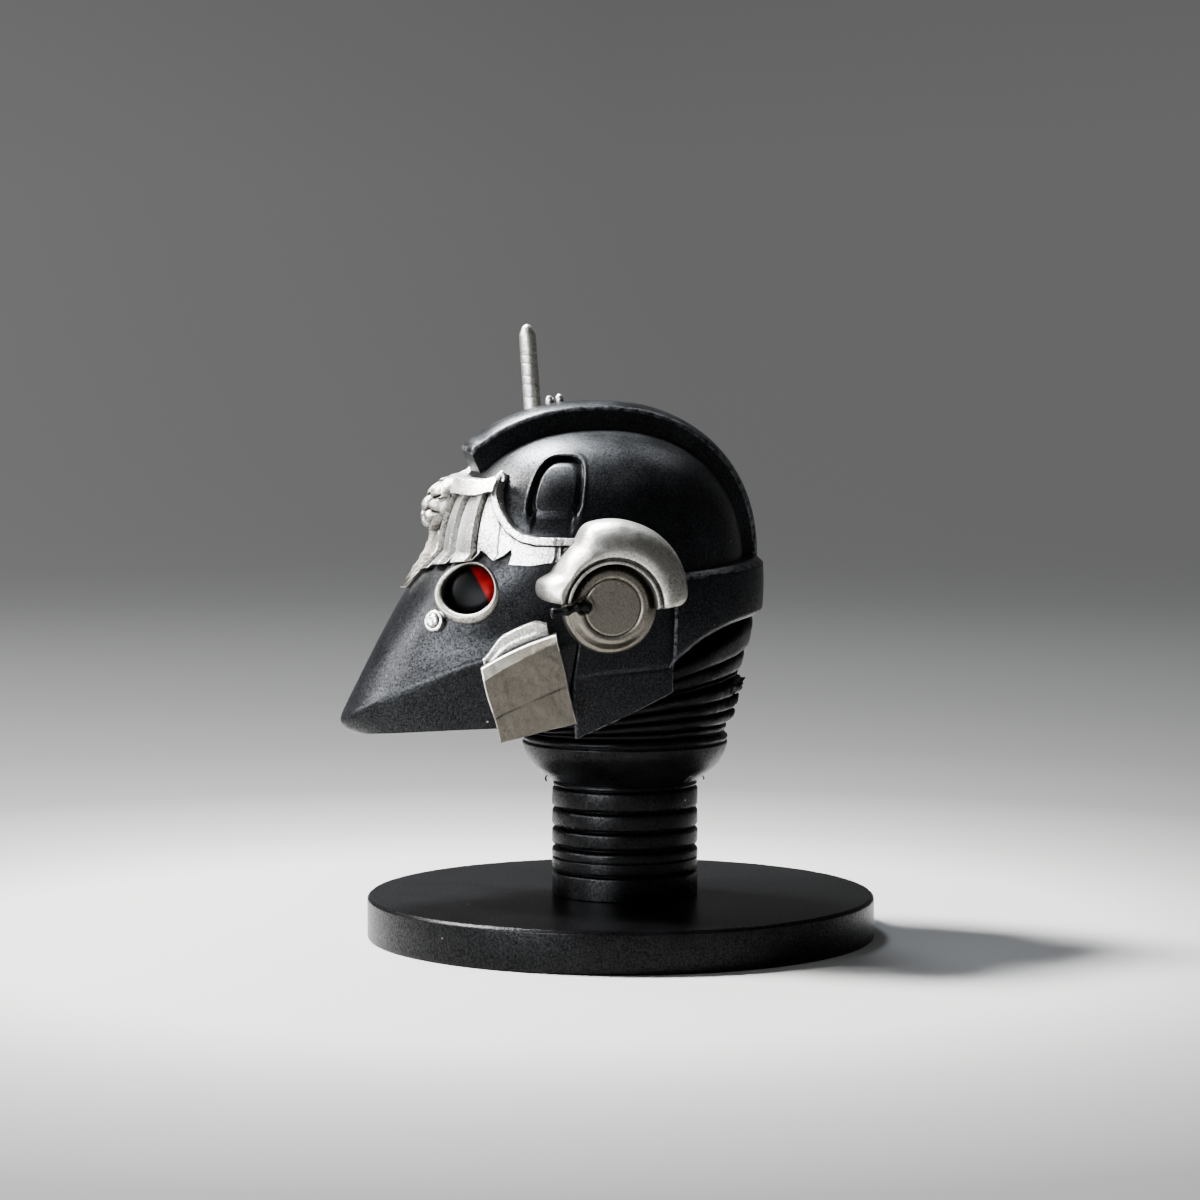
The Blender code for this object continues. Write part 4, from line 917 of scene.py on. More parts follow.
def face_grid(rear, proud, overrun, columns, row_step):
    """A block under the face's surface, closed square at the brow, below and behind."""
    half = columns // 2
    bearings = [rear * signed_power(k / half, 1.15) for k in range(-half, half + 1)]
    rows = [k * row_step for k in range(int(7 / row_step) + 1)]
    grid = [[face_row_point(b, row, proud) for b in bearings] for row in rows]
    if overrun:
        grid.insert(0, [p + Vector((0, 0, overrun)) for p in grid[0]])
    across = len(bearings)
    points = [p for row in grid for p in row]
    faces = []
    for i in range(len(grid) - 1):
        for j in range(across - 1):
            a, b = i * across + j, (i + 1) * across + j
            faces.append((a, a + 1, b + 1, b))
        a, b = i * across, (i + 1) * across
        faces.append((a, b, b + across - 1, a + across - 1))
    for i in (0, len(grid) - 1):
        for j in range(half):
            corners = [i * across + j, i * across + j + 1, (i + 1) * across - 2 - j, (i + 1) * across - 1 - j]
            faces.append(tuple(c for n, c in enumerate(corners) if c not in corners[:n]))
    return points, faces


def across_and_up(direction):
    """The turn that stands a solid's own Z along a direction, with its X level."""
    out = Vector(direction).normalized()
    level = Vector((0, 0, 1)).cross(out).normalized()
    return Matrix((level, out.cross(level), out)).transposed()


def cutting_solid(name, points, faces):
    """A solid as an object of its own, for cutting."""
    mesh = bpy.data.meshes.new(name)
    mesh.from_pydata([tuple(p * MM) for p in points], [], faces)
    work = bmesh.new()
    work.from_mesh(mesh)
    bmesh.ops.recalc_face_normals(work, faces=work.faces)
    work.to_mesh(mesh)
    work.free()
    cutter = bpy.data.objects.new(name, mesh)
    bpy.context.scene.collection.objects.link(cutter)
    return cutter


def cut_away(piece, cutters):
    """Cuts solids out of a piece, keeps the result as its mesh and removes the cutters."""
    for cutter in cutters:
        modifier = piece.modifiers.new(cutter.name, "BOOLEAN")
        modifier.object = cutter
        modifier.solver = "EXACT"
    bpy.context.view_layer.update()
    deps = bpy.context.evaluated_depsgraph_get()
    result = bpy.data.meshes.new_from_object(piece.evaluated_get(deps))
    piece.modifiers.clear()
    piece.data = result
    for cutter in cutters:
        bpy.data.objects.remove(cutter)


def face_normal(bearing, height):
    """The outward direction of the face at a bearing and a height."""
    here = face_point(bearing, height)
    along = face_point(bearing + 1.0, height) - here
    up = face_point(bearing, height + 0.4) - here
    return along.cross(up).normalized()


EYE_BEARING = 41.0
EYE_HEIGHT = EQUATOR - 2.4
EYE_RADIUS = 3.0
EYE_STRETCH = 1.16
NECK_CLEAR = 14.0

points, faces = face_grid(VISOR_REAR, 0.0, 0.0, 120, 0.1)
face_tree = BVHTree.FromPolygons(points, faces)
visor = add_piece("beak_visor", points, faces, satin, ["visor_beak"])
cutters = [cutting_solid("visor_hollow", *face_grid(VISOR_REAR + 8, -VISOR_WALL, 2.0, 60, 0.25))]
floor_level = JOIN - FACE_DROP
low, high = floor_level - 3, floor_level + 5
hole = [(0, low), (NECK_CLEAR, low), (NECK_CLEAR, high), (0, high)]
cutters.append(cutting_solid("neck_clearance", *turned(hole, 96)))
eye_place = face_point(EYE_BEARING, EYE_HEIGHT)
eye_out = face_normal(EYE_BEARING, EYE_HEIGHT)
hole, faces = turned([(0, -5), (EYE_RADIUS, -5), (EYE_RADIUS, 2.5), (0, 2.5)], 64)
for sign in (1, -1):
    stand = across_and_up((sign * eye_out.x, eye_out.y, eye_out.z))
    middle = Vector((sign * eye_place.x, eye_place.y, eye_place.z))
    points = [stand @ Vector((p.x * EYE_STRETCH, p.y, p.z)) + middle for p in hole]
    cutters.append(cutting_solid("eye_hole", points, faces))
cut_away(visor, cutters)
visor.data.shade_smooth()
visor.data.set_sharp_from_angle(angle=math.radians(38))

# The cheek guards: thin moulded walls below the ears, each with an engraved panel line across it.
# They butt against the visor in front and the nape guard behind.
GUARD_PROUD = 0.4
GUARD_WALL = 1.2
GUARD_REAR = head_point(109.0, EQUATOR).y
GUARD_LOW = (EQUATOR - 19.6, EQUATOR - 14.4)
GUARD_SEAM = head_point(106.2, EQUATOR).y
PANEL_LINE = (EQUATOR - 12.3, EQUATOR - 11.4)


def bearing_at(y, height, proud=0.0):
    """The bearing at which the head form reaches a place, seen from the side."""
    low, high = 0.0, 180.0
    for _ in range(24):
        middle = (low + high) / 2
        if head_point(middle, height, proud).y < y:
            low = middle
        else:
            high = middle
    return low


def side_x(y, height, proud=0.0):
    """How far out the left side of the head form lies at a place, seen from the side."""
    return head_point(bearing_at(y, height, proud), height, proud).x


def guard_place(u, v):
    level = mix(mix(*GUARD_LOW, u), JOIN, v)
    front = face_point(VISOR_REAR, level).y + 0.15 + 0.9 * ease((0.35 - v) / 0.35)
    return mix(front, GUARD_REAR, u), level


def guard_out(u, v):
    y, level = guard_place(u, v)
    line = mix(*PANEL_LINE, u)
    groove = 0.16 * bell(level - line, 0.14) * ease((u - 0.12) / 0.1)
    step = 0.10 * ease((line - level) / 0.12)
    groove += 0.14 * bell(y - GUARD_SEAM, 0.13)
    return Vector((side_x(y, level, GUARD_PROUD) - groove - step, y, level))


def guard_in(u, v):
    y, level = guard_place(u, v)
    return Vector((side_x(y, level, GUARD_PROUD) - GUARD_WALL, y, level))


points, faces, wear_and_sheen = plate(guard_out, guard_in, (11.5, 19.0), 0.18, (0.45, 0.14))
add_pair("cheek_wall", points, faces, satin, "cheek_guard", 50, wear_and_sheen)

# The brow plate: cast nickel-coloured metal with a header rail, overlapping flutes that end in
# points over the eyes, a raised border along its swept rear edge, and an arm back to each ear.
BROW_THICK = 0.9
BROW_FLUTE = 0.5
BROW_LOWER = (
    (0.0, -0.6),
    (9.5, -0.5),
    (11.0, 0.7),
    (12.0, 0.0),
    (20.5, 0.2),
    (22.0, 1.4),
    (23.4, 0.4),
    (34.4, 0.75),
    (36.4, 2.0),
    (37.4, 1.9),
    (45.5, 0.9),
    (51.6, 2.3),
    (52.8, 0.5),
    (61.5, 0.4),
    (75.0, 1.2),
    (100.0, 1.3),
)
BROW_UPPER = (
    (0.0, 10.0),
    (30.0, 10.0),
    (39.0, 10.6),
    (40.0, 8.9),
    (43.0, 7.5),
    (47.0, 6.2),
    (52.0, 4.75),
    (57.0, 3.95),
    (62.0, 3.65),
    (100.0, 3.5),
)
FLUTE_SEAMS = (0.0, 11.5, 22.5, 34.0)
FLUTE_LEAN = 4.5
RAIL_END = 39.2
RAIL_HEIGHT = 1.75
BORDER_WIDTH = 0.8
DEGREE = 0.27
EAR_Y = -4.4
EAR_Z = EQUATOR - 4.1
HOOD_RADIUS = 8.5
HOOD_RAISE = 1.4
HOOD_PINCH = 1.25


def nickel(name, light, dark, patina, roughness, pits):
    """Antique nickel: bright metal under a dark speckled patina that gathers in the hollows."""
    material, tree, shader = new_material(name, light, roughness, 1.0)
    place = add_node(tree, "ShaderNodeTexCoord").outputs["Object"]
    speck = noise_at(tree, place, 3400.0, 5.0, 0.8)
    hollows = add_node(tree, "ShaderNodeAmbientOcclusion", {"Distance": 0.0013}, samples=4)
    stain = ramp(tree, noise_at(tree, place, 330.0, 6.0, 0.6), [(0.36, grey(0)), (0.66, grey(1))])
    freckle = ramp(tree, speck, [(0.46, grey(0)), (0.62, grey(1))])
    shade = ramp(tree, hollows.outputs["AO"], [(0.32, grey(1)), (0.90, grey(0))])
    spotted = maths(tree, "MULTIPLY", maths(tree, "MULTIPLY_ADD", stain, 0.55, 0.45), freckle)
    grime = maths(tree, "ADD", maths(tree, "MULTIPLY", spotted, patina), shade, clamp=True)
    # The edge mask brightens rubbed edges: wear, and on the cheek plates' upper front a painted highlight.
    edge = add_node(tree, "ShaderNodeAttribute", attribute_name="wear_and_sheen").outputs["Fac"]
    grime = maths(tree, "MULTIPLY_ADD", edge, -0.45, grime, clamp=True)
    between = tuple(mix(a, b, 0.55) for a, b in zip(light, dark))
    colour = ramp(tree, grime, [(0.0, light), (0.5, between), (1.0, dark)])
    colour = blend(tree, maths(tree, "MULTIPLY", edge, 0.6), colour, (0.80, 0.78, 0.74, 1))
    dull = remap(tree, grime, 0.0, 1.0, roughness, min(roughness + 0.28, 0.9))
    relief = bumped(tree, 0.45, 0.00006, noise_at(tree, place, 1500.0, 6.0, 0.65))
    relief = bumped(tree, pits, 0.00006, speck, relief)
    wire(tree, shader, Base_Color=colour, Roughness=dull, Normal=relief)
    return material


bright_nickel = nickel("bright_antique_nickel", (0.80, 0.775, 0.73), (0.03, 0.027, 0.023), 0.95, 0.27, 0.7)
worn_nickel = nickel("worn_antique_nickel", (0.20, 0.182, 0.152), (0.022, 0.019, 0.015), 0.70, 0.36, 0.6)
cheek_nickel = nickel("cheek_antique_nickel", (0.085, 0.077, 0.064), (0.018, 0.016, 0.013), 0.45, 0.36, 0.6)
# A darker copy of the nickel, painted shade: for the eye bezels under the overhanging brow and the rosette's
# side-on face.
shaded_nickel = nickel("shaded_antique_nickel", (0.33, 0.315, 0.28), (0.025, 0.022, 0.018), 0.85, 0.33, 0.7)
hood_nickel = nickel("hood_antique_nickel", (0.55, 0.53, 0.48), (0.03, 0.027, 0.022), 0.85, 0.32, 0.7)


def hood_reach(degrees):
    """The hood's outer radius, which is pinched where the brow plate's arm meets it."""
    return HOOD_RADIUS - HOOD_PINCH * ease((degrees - 108) / 22) * ease((172 - degrees) / 14)


def hood_front(height):
    """Where the ear hood's outer edge lies at a height."""
    rise = height - (EAR_Z + HOOD_RAISE)
    reach = hood_reach(180 - math.degrees(math.asin(min(rise / HOOD_RADIUS, 1.0))))
    return EAR_Y - math.sqrt(max(reach**2 - rise**2, 0.0))


def brow_end(height):
    """The arm runs back to the ear hood and laps its edge."""
    return bearing_at(hood_front(height) + 0.35, height, BROW_THICK)


def along_table(table, here):
    """Height on an edge of the brow plate, straight between the rows of its table."""
    for (start, low), (end, high) in zip(table, table[1:]):
        if here <= end:
            return mix(low, high, (here - start) / (end - start))
    return table[-1][1]


def brow_edges(bearing):
    """The plate's lower edge, with its notches, and its upper edge, at a bearing."""
    side = abs(bearing)
    return EQUATOR + along_table(BROW_LOWER, side), EQUATOR + along_table(BROW_UPPER, side)


def brow_columns(u, v):
    """A column's place among the flutes, and its bearing, which leans to the nose lower down."""
    along = abs(2 * u - 1)
    if along < 0.86:
        flute_side = 66.0 * along / 0.86
    else:
        flute_side = mix(66.0, brow_end(EQUATOR + mix(1.3, 3.5, v)), (along - 0.86) / 0.14)
    lean = FLUTE_LEAN * (1 - v) * ease((36 - flute_side) / 20) * ease(flute_side / 12)
    return flute_side, math.copysign(flute_side - lean, 2 * u - 1)


def rear_distance(side, height):
    """How far a place on the plate lies from its swept rear edge, in millimetres."""
    here = Vector((side * DEGREE, height - EQUATOR))
    nearest = 99.0
    for (start, high), (end, low) in zip(BROW_UPPER[3:], BROW_UPPER[4:]):
        a, b = Vector((start * DEGREE, high)), Vector((end * DEGREE, low))
        share = min(max((here - a).dot(b - a) / (b - a).length_squared, 0.0), 1.0)
        nearest = min(nearest, (here - a.lerp(b, share)).length)
    return nearest


def brow_thickness(flute_side, bearing, height, high):
    """Overlapping flutes below a header rail, with a raised border on the rear edge."""
    side = abs(bearing)
    seams = [seam for seam in FLUTE_SEAMS if seam <= flute_side]
    stop = (FLUTE_SEAMS + (46.0,))[len(seams)]
    share = min((flute_side - seams[-1]) / (stop - seams[-1]), 1.0)
    rise = share**1.2 if stop < 45 else 0.25 * ease(share)
    thick = BROW_THICK - 0.25 + (BROW_FLUTE + 0.15) * rise * ease((1 - share) / 0.08)
    for seam in FLUTE_SEAMS[1:]:
        thick -= 0.30 * bell(flute_side - seam, 0.45)
    rail = ease(1 - (high - height - RAIL_HEIGHT) / 0.14) if side < RAIL_END else 0.0
    thick = mix(thick, BROW_THICK + BROW_FLUTE + 0.15, rail)
    if side > 34:
        from_rear = rear_distance(side, height)
        border = ease(1 - (from_rear - BORDER_WIDTH) / 0.10)
        if side > RAIL_END or rail == 0.0:
            thick = mix(thick, BROW_THICK + 0.22, border)
            thick -= 0.22 * bell(from_rear - BORDER_WIDTH - 0.10, 0.08) * ease((76 - side) / 3)
    if side > 60:
        clamp_at = bearing_at(hood_front(EQUATOR + 2.4) - 0.2, EQUATOR + 2.4)
        for offset in (0.6, 2.8):
            thick += 0.40 * math.exp(-(((side - clamp_at + offset) / 0.60) ** 4))
    return thick


def brow_place(u, v):
    flute_side, bearing = brow_columns(u, v)
    low, high = brow_edges(bearing)
    return flute_side, bearing, mix(low, high, v), high


def brow_out(u, v):
    flute_side, bearing, height, high = brow_place(u, v)
    return face_point(bearing, height, brow_thickness(flute_side, bearing, height, high))


def brow_in(u, v):
    flute_side, bearing, height, high = brow_place(u, v)
    return face_point(bearing, height, 0.05)


points, faces, wear_and_sheen = plate(brow_out, brow_in, (44.0, 9.5), 0.18, (0.115, 0.13))
brow_tree = BVHTree.FromPolygons(points, faces)
add_piece("brow_guard", points, faces, bright_nickel, ["brow_plate"], 60, wear_and_sheen)

HORN_SIDES = 14
HORN_PATH = (
    (36.5, 9.9, 1.0, 0.50),
    (38.6, 10.2, 1.2, 0.60),
    (40.2, 10.6, 1.3, 0.56),
    (41.3, 10.5, 1.2, 0.42),
    (41.5, 9.9, 1.0, 0.25),
)
rings = []
for step in range(17):
    along = step / 16 * (len(HORN_PATH) - 1)
    first = min(int(along), len(HORN_PATH) - 2)
    bearing, up, proud, half = (mix(a, b, along - first) for a, b in zip(*HORN_PATH[first : first + 2]))
    middle = head_point(bearing, EQUATOR + up, proud)
    ahead = (head_point(bearing + 1, EQUATOR + up, proud) - middle).normalized()
    out = ahead.cross(Vector((0, 0, 1))).normalized()
    heading = ahead if along < 2 else (ahead + Vector((0, 0, -1.2 * (along - 2)))).normalized()
    aside = out.cross(heading).normalized()
    turns = [k * math.pi / 7 for k in range(HORN_SIDES)]
    rings.append([middle + (aside * math.cos(a) + out * 0.8 * math.sin(a)) * half for a in turns])
points, faces = lofted(rings)
add_pair("brow_horn", points, faces, bright_nickel, None, 60)

# The brow boss: a cast rosette in the middle of the brow, with a domed eye, a ring of petals and
# a roped rim, its hollows dark with patina. It hides the joint of the brow plate and the beak.
BOSS_RADIUS = 3.3
BOSS_Z = EQUATOR + 6.9
BOSS_PETALS = 8
BOSS_TILT = 0.30


def seat_in_front(x, z):
    """How far forward the brow plate, or else the face below it, lies at a place."""
    start = Vector((x, -60, z))
    found = [tree.ray_cast(start, Vector((0, 1, 0)))[0] for tree in (brow_tree, face_tree)]
    found = [p.y for p in found if p]
    return min(found) if found else head_point(0, z).y


def boss_height(share, turn):
    """The rosette's relief from its middle, at share 0, to its rim, at share 1."""
    knob = 0.95 * math.sqrt(max(0.0, 1 - (share / 0.32) ** 2))
    moat = -0.55 * bell(share - 0.37, 0.05)
    between_petals = abs(math.cos(0.5 * BOSS_PETALS * turn))
    reach = min(max((share - 0.40) / 0.44, 0), 1.0)
    round_end = math.sqrt(max(0.0, 1 - (2 * reach - 1) ** 4))
    petals = 0.60 * round_end * between_petals**0.5 - 0.45 * round_end * (1 - between_petals) ** 3
    rope = 0.34 * max(0.0, 1 - ((share - 0.92) / 0.075) ** 2)
    relief = knob + moat + petals + rope - 0.35 * ease((share - 0.965) / 0.035)
    return 1.55 * math.sqrt(max(0.0, 1 - share**2.6)) + relief


seat_y = min(seat_in_front(0, BOSS_Z + dz) for dz in (-1.5, 0, 1.5))
steps, around = 56, 192
turns = [2 * math.pi * k / around for k in range(around)]
rim = [(BOSS_RADIUS * math.cos(a), BOSS_RADIUS * math.sin(a)) for a in turns]
rim_seats = [seat_in_front(x, BOSS_Z + up) for x, up in rim]
points = []
for i in range(steps + 1):
    share = i / steps
    for turn, rim_seat in zip(turns, rim_seats):
        x, up = BOSS_RADIUS * share * math.cos(turn), BOSS_RADIUS * share * math.sin(turn)
        seat = mix(seat_y + BOSS_TILT * up, rim_seat - 0.1, share**4)
        points.append(Vector((x, seat - boss_height(share, turn), BOSS_Z + up)))
points += [Vector((x, seat + 0.4, BOSS_Z + up)) for (x, up), seat in zip(rim, rim_seats)]
faces = []
for i in range(steps + 1):
    for k in range(around):
        a, b = i * around + k, i * around + (k + 1) % around
        faces.append((a, b, b + around, a + around))
faces.append(tuple(range((steps + 1) * around, (steps + 2) * around)))
# The rosette takes the darker nickel, painted shade.
add_piece("brow_rosette", points, faces, shaded_nickel, ["brow_boss"], 60)

# The nasal leaf: a cast leaf that hangs from the rosette down the root of the beak, with a raised
# midrib and veins.
LEAF_LENGTH = 6.8
LEAF_HALF = 1.7
LEAF_THICK = 0.8
leaf_top = BOSS_Z - BOSS_RADIUS + 0.2


def leaf_half(v):
    """Half width of the leaf, from its tip at v 0 to the rosette at v 1."""
    share = 1 - v
    half = LEAF_HALF * (0.62 + 0.38 * math.sin(math.pi * min(share * 1.5, 1)))
    return half * (1 - 0.90 * ease((share - 0.40) / 0.60))


def leaf_in(u, v):
    x = leaf_half(v) * (2 * u - 1)
    z = leaf_top - LEAF_LENGTH * (1 - v)
    seat = sum(seat_in_front(0, z + 0.45 * k) for k in range(-3, 4)) / 7
    return Vector((x, seat + 0.15 + 0.3 * abs(x), z))


def leaf_out(u, v):
    across = abs(2 * u - 1)
    share = 1 - v
    rib = 0.34 * bell(across, 0.16)
    vein = 0.10 * max(0.0, math.sin(2 * math.pi * (5 * share + 1.1 * across)))
    body = LEAF_THICK * (0.85 - 0.35 * across**2)
    return leaf_in(u, v) - Vector((0, 0.25 + body + rib + vein, -0.12))


points, faces, wear_and_sheen = plate(leaf_out, leaf_in, (2.6, LEAF_LENGTH), 0.12, (0.10, 0.10))
add_piece("root_leaf", points, faces, worn_nickel, ["nasal_leaf"], 60, wear_and_sheen)

# The eyes: a cast bezel lies on the visor round each hole, with a lug and a slotted screw beside
# it. The lens behind is clear red, with its front half painted near black as the shade inside the socket.
BEZEL_RADIUS = 4.05
BEZEL_THICK = 0.85
LUG_REACH = 5.45
LUG_RADIUS = 1.25
LUG_ANGLE = math.radians(226)
SLOT_HALF = 0.14
SLOT_DEPTH = 0.22
LENS_DEPTH = 1.25
LENS_SLANT = 0.45
LENS_EDGE = 1.35
along_face = Vector((0, 0, 1)).cross(eye_out).normalized()
up_face = eye_out.cross(along_face)


def on_face(across, up):
    """The point of the visor under a place in the eye's own plane."""
    start = eye_place + along_face * across + up_face * up + eye_out * 6
    found = face_tree.ray_cast(start, -eye_out)[0]
    return found if found else start - eye_out * 6


def face_ring(centre, outline, sides, taper=None, stretch=1.0):
    """A ring on the visor from (radius, lift) points, bent to lie on its curve."""
    points, faces = [], []
    for k in range(sides):
        turn = 2 * math.pi * k / sides
        heading = Vector((math.cos(turn), math.sin(turn)))
        slim, low = taper(turn) if taper else (0.0, 1.0)
        for radius, lift in outline:
            radius -= slim * max(0.0, radius - EYE_RADIUS)
            spot = Vector(centre) + heading * radius
            spot.x *= stretch
            points.append(on_face(spot.x, spot.y) + eye_out * (lift * low if lift > 0 else lift))
    size = len(outline)
    for k in range(sides):
        for n in range(size):
            a, b = k * size + n, ((k + 1) % sides) * size + n
            after = (n + 1) % size
            faces.append((a, k * size + after, ((k + 1) % sides) * size + after, b))
    return points, faces


def bezel_taper(turn):
    """The bezel is broad and thick below and in front, and thin where it runs under the brow."""
    thin = (1 - math.cos(turn - math.radians(238))) / 2
    return 0.74 * ease(thin), 1 - 0.55 * ease(thin)


bezel = rounded(
    [
        (EYE_RADIUS - 0.05, -0.3, 0),
        (BEZEL_RADIUS, -0.1, 0),
        (BEZEL_RADIUS, 0.45 * BEZEL_THICK, 0.3),
        (mix(EYE_RADIUS, BEZEL_RADIUS, 0.5), BEZEL_THICK, 0.25),
        (EYE_RADIUS - 0.05, 0.6 * BEZEL_THICK, 0.25),
    ]
)
ruby, tree, shader = new_material("ruby_lens", (0.40, 0.001, 0.002), 0.30)
place = add_node(tree, "ShaderNodeTexCoord").outputs["Object"]
tint = noise_at(tree, place, 900.0, 3.0)
apart = add_node(tree, "ShaderNodeSeparateXYZ", {"Vector": place})
# Painted shade: the lens is near black in front of a slanted line, as the socket's shade, and red behind it.
slanted = maths(tree, "MULTIPLY_ADD", apart.outputs["Z"], LENS_SLANT, apart.outputs["Y"])
edge = (eye_place.y + LENS_SLANT * eye_place.z + LENS_EDGE) * MM
unshaded_red_share = remap(tree, slanted, edge + 0.0002, edge + 0.0005)
red = ramp(tree, tint, [(0.3, (0.26, 0.0006, 0.001)), (0.7, (0.44, 0.001, 0.002))])
wire(tree, shader, Base_Color=blend(tree, unshaded_red_share, (0.002, 0.002, 0.002, 1), red))
shader.inputs["Specular IOR Level"].default_value = 0.02

points, faces = face_ring((0, 0), bezel, 128, bezel_taper, EYE_STRETCH)
# The bezels take the darker nickel, painted shade from the brow above.
add_pair("eye_bezel", points, faces, shaded_nickel, "eye_rim", 60)

toward_lug = Vector((math.cos(LUG_ANGLE), math.sin(LUG_ANGLE)))
centre = toward_lug * LUG_REACH
profile = rounded(
    [
        (0.0, -0.2, 0),
        (LUG_RADIUS, -0.1, 0),
        (LUG_RADIUS, 0.8, 0.22),
        (0.86, 0.8, 0.05),
        (0.84, 0.62, 0.05),
        (0.76, 0.62, 0.05),
        (0.74, 1.1, 0.25),
        (0.0, 1.2, 0),
    ],
    3,
)
points, faces = face_ring(centre, profile, 48)
for index, point in enumerate(points):
    local = point - eye_place
    across = local.dot(along_face) - centre.x
    up = local.dot(up_face) - centre.y
    if abs(0.8 * across + 0.6 * up) < SLOT_HALF and across**2 + up**2 < 0.55:
        points[index] = point - eye_out * SLOT_DEPTH
add_pair("bezel_lug", points, faces, bright_nickel, "eye_lug", 60)

aside = Vector((-toward_lug.y, toward_lug.x))
rings = []
for step in range(9):
    reach = mix(BEZEL_RADIUS - 0.3, LUG_REACH - LUG_RADIUS + 0.4, step / 8)
    half = 0.55 + 0.25 * (2 * step / 8 - 1) ** 2
    ring = []
    for offset, lift in ((-1, -0.1), (-1, 0.35), (-0.5, 0.6), (0.5, 0.6), (1, 0.35), (1, -0.1)):
        spot = toward_lug * reach + aside * half * offset
        ring.append(on_face(spot.x, spot.y) + eye_out * lift)
    rings.append(ring)
points, faces = lofted(rings)
add_pair("lug_web", points, faces, bright_nickel, None, 40)

lens = rounded([(0, -0.5, 0), (2.9, -0.5, 0), (2.9, 0.0, 0.2), (2.2, 0.45, 0.8), (0.0, 0.75, 0)], 6)
points, faces = turned(lens, 64)
points = [Vector((p.x * EYE_STRETCH, p.y, p.z)) for p in points]
points = [eye_place - eye_out * LENS_DEPTH + across_and_up(eye_out) @ p for p in points]
add_pair("ruby_lens", points, faces, ruby, "eye_lens")

# The ears: a turned metal disc with a bevelled rim under a fat cast hood. A short black pin lies
# in a drilled hole at the disc's front edge.
DISC_RADIUS = 5.4
DISC_FACE = 3.6
DISC_Y = EAR_Y - 0.5
DISC_HEIGHT = 3.3
HOOD_HEIGHT = 4.4
HOOD_LIP = 0.36
HOOD_GROOVE = 0.62
HOOD_INNER = 5.05
HOOD_START = -3.0
HOOD_END = 176.0
HOOD_OUTER_START = -11.0
HOOD_OUTER_END = 187.0
HOOD_CORNER = 11.0
HOOD_STEP = 35.0
HOLE_RADIUS = 0.95
PIN_RADIUS = 0.50
ear_seat = side_x(HEAD_Y, EQUATOR, GUARD_PROUD) + 0.3
rise = ear_seat + HOOD_HEIGHT
hole_y = DISC_Y - 3.4


def disc_relief(y, z):
    """The drilled hole and its dished edge at the disc's front."""
    away = math.hypot(y - hole_y, z - EAR_Z - 0.25)
    return 0.07 * bell(away - HOLE_RADIUS - 0.15, 0.15) - 0.8 * ease((HOLE_RADIUS - away) / 0.25)


def hood_ring(share):
    """One section of the hood, from the disc's edge over the crown and down to the head."""
    inner = math.radians(mix(HOOD_START, HOOD_END, share))
    outer_degrees = mix(HOOD_OUTER_START, HOOD_OUTER_END, share)
    outer = math.radians(outer_degrees)
    clear = GUARD_PROUD - 0.15 if outer_degrees > HOOD_STEP else 1.15
    near_end = min(outer_degrees - HOOD_OUTER_START, HOOD_OUTER_END - outer_degrees)
    corner = 1 - min(near_end / HOOD_CORNER, 1.0)
    shrink = 1.5 * (1 - math.sqrt(1 - corner**2))
    drop = 0.5 * (1 - math.sqrt(1 - corner**4))
    start = Vector((DISC_Y, EAR_Z)) + Vector((math.cos(inner), math.sin(inner))) * HOOD_INNER
    reach = hood_reach(outer_degrees) - shrink
    end = Vector((EAR_Y, EAR_Z + HOOD_RAISE)) + Vector((math.cos(outer), math.sin(outer))) * reach
    width = (end - start).length
    top = rise - drop
    corners = [
        (0.0, None, 0),
        (0.0, top - 0.30, 0.12),
        (HOOD_LIP, top - 0.30, 0.12),
        (HOOD_LIP + 0.06, top - 0.68, 0.05),
        (HOOD_GROOVE, top - 0.68, 0.05),
        (HOOD_GROOVE + 0.12, top - 0.12, 0.25),
        (mix(HOOD_GROOVE, width, 0.28), top + 0.08, 0.7),
        (mix(HOOD_GROOVE, width, 0.62), top - 0.55, 1.0),
        (mix(HOOD_GROOVE, width, 0.90), top - 1.55, 0.8),
        (width, top - 2.7, 0.5),
        (width, None, 0),
    ]
    solid = []
    for out, height, fillet in corners:
        y, z = mix(start, end, out / width)
        solid.append((out, side_x(y, z, clear) if height is None else height, fillet))
    ring = []
    for out, height in rounded(solid, 5):
        y, z = mix(start, end, out / width)
        dent = 0.05 * noise.noise(Vector((y, z, 0.4))) if height > 0.8 * rise else 0.0
        ring.append(Vector((height + dent, y, z)))
    return ring


outline = rounded(
    [
        (0, 0, 0),
        (DISC_RADIUS, 0, 0.2),
        (DISC_RADIUS, 0.50 * DISC_HEIGHT, 0.3),
        (DISC_RADIUS - 0.22, 0.60 * DISC_HEIGHT, 0.15),
        (DISC_RADIUS - 0.55, 0.62 * DISC_HEIGHT, 0.12),
        (DISC_FACE + 0.55, 0.93 * DISC_HEIGHT, 0.35),
        (DISC_FACE - 0.10, 0.97 * DISC_HEIGHT, 0.45),
    ]
)
outline += [Vector((DISC_FACE * (1 - k / 36), 0.97 * DISC_HEIGHT)) for k in range(5, 37)]
flat_points, faces = turned(outline, 160)
points = []
for p in flat_points:
    y, z = DISC_Y + p.x, EAR_Z + p.y
    out = p.z + (disc_relief(y, z) if p.z > 0.5 * DISC_HEIGHT else 0.0)
    points.append(Vector((ear_seat - 0.25 + out, y, z)))
add_pair("ear_cap", points, faces, worn_nickel, "ear_disc", 60)

points, faces = lofted([hood_ring(k / 110) for k in range(111)])
add_pair("ear_arch", points, faces, hood_nickel, "ear_hood", 60)

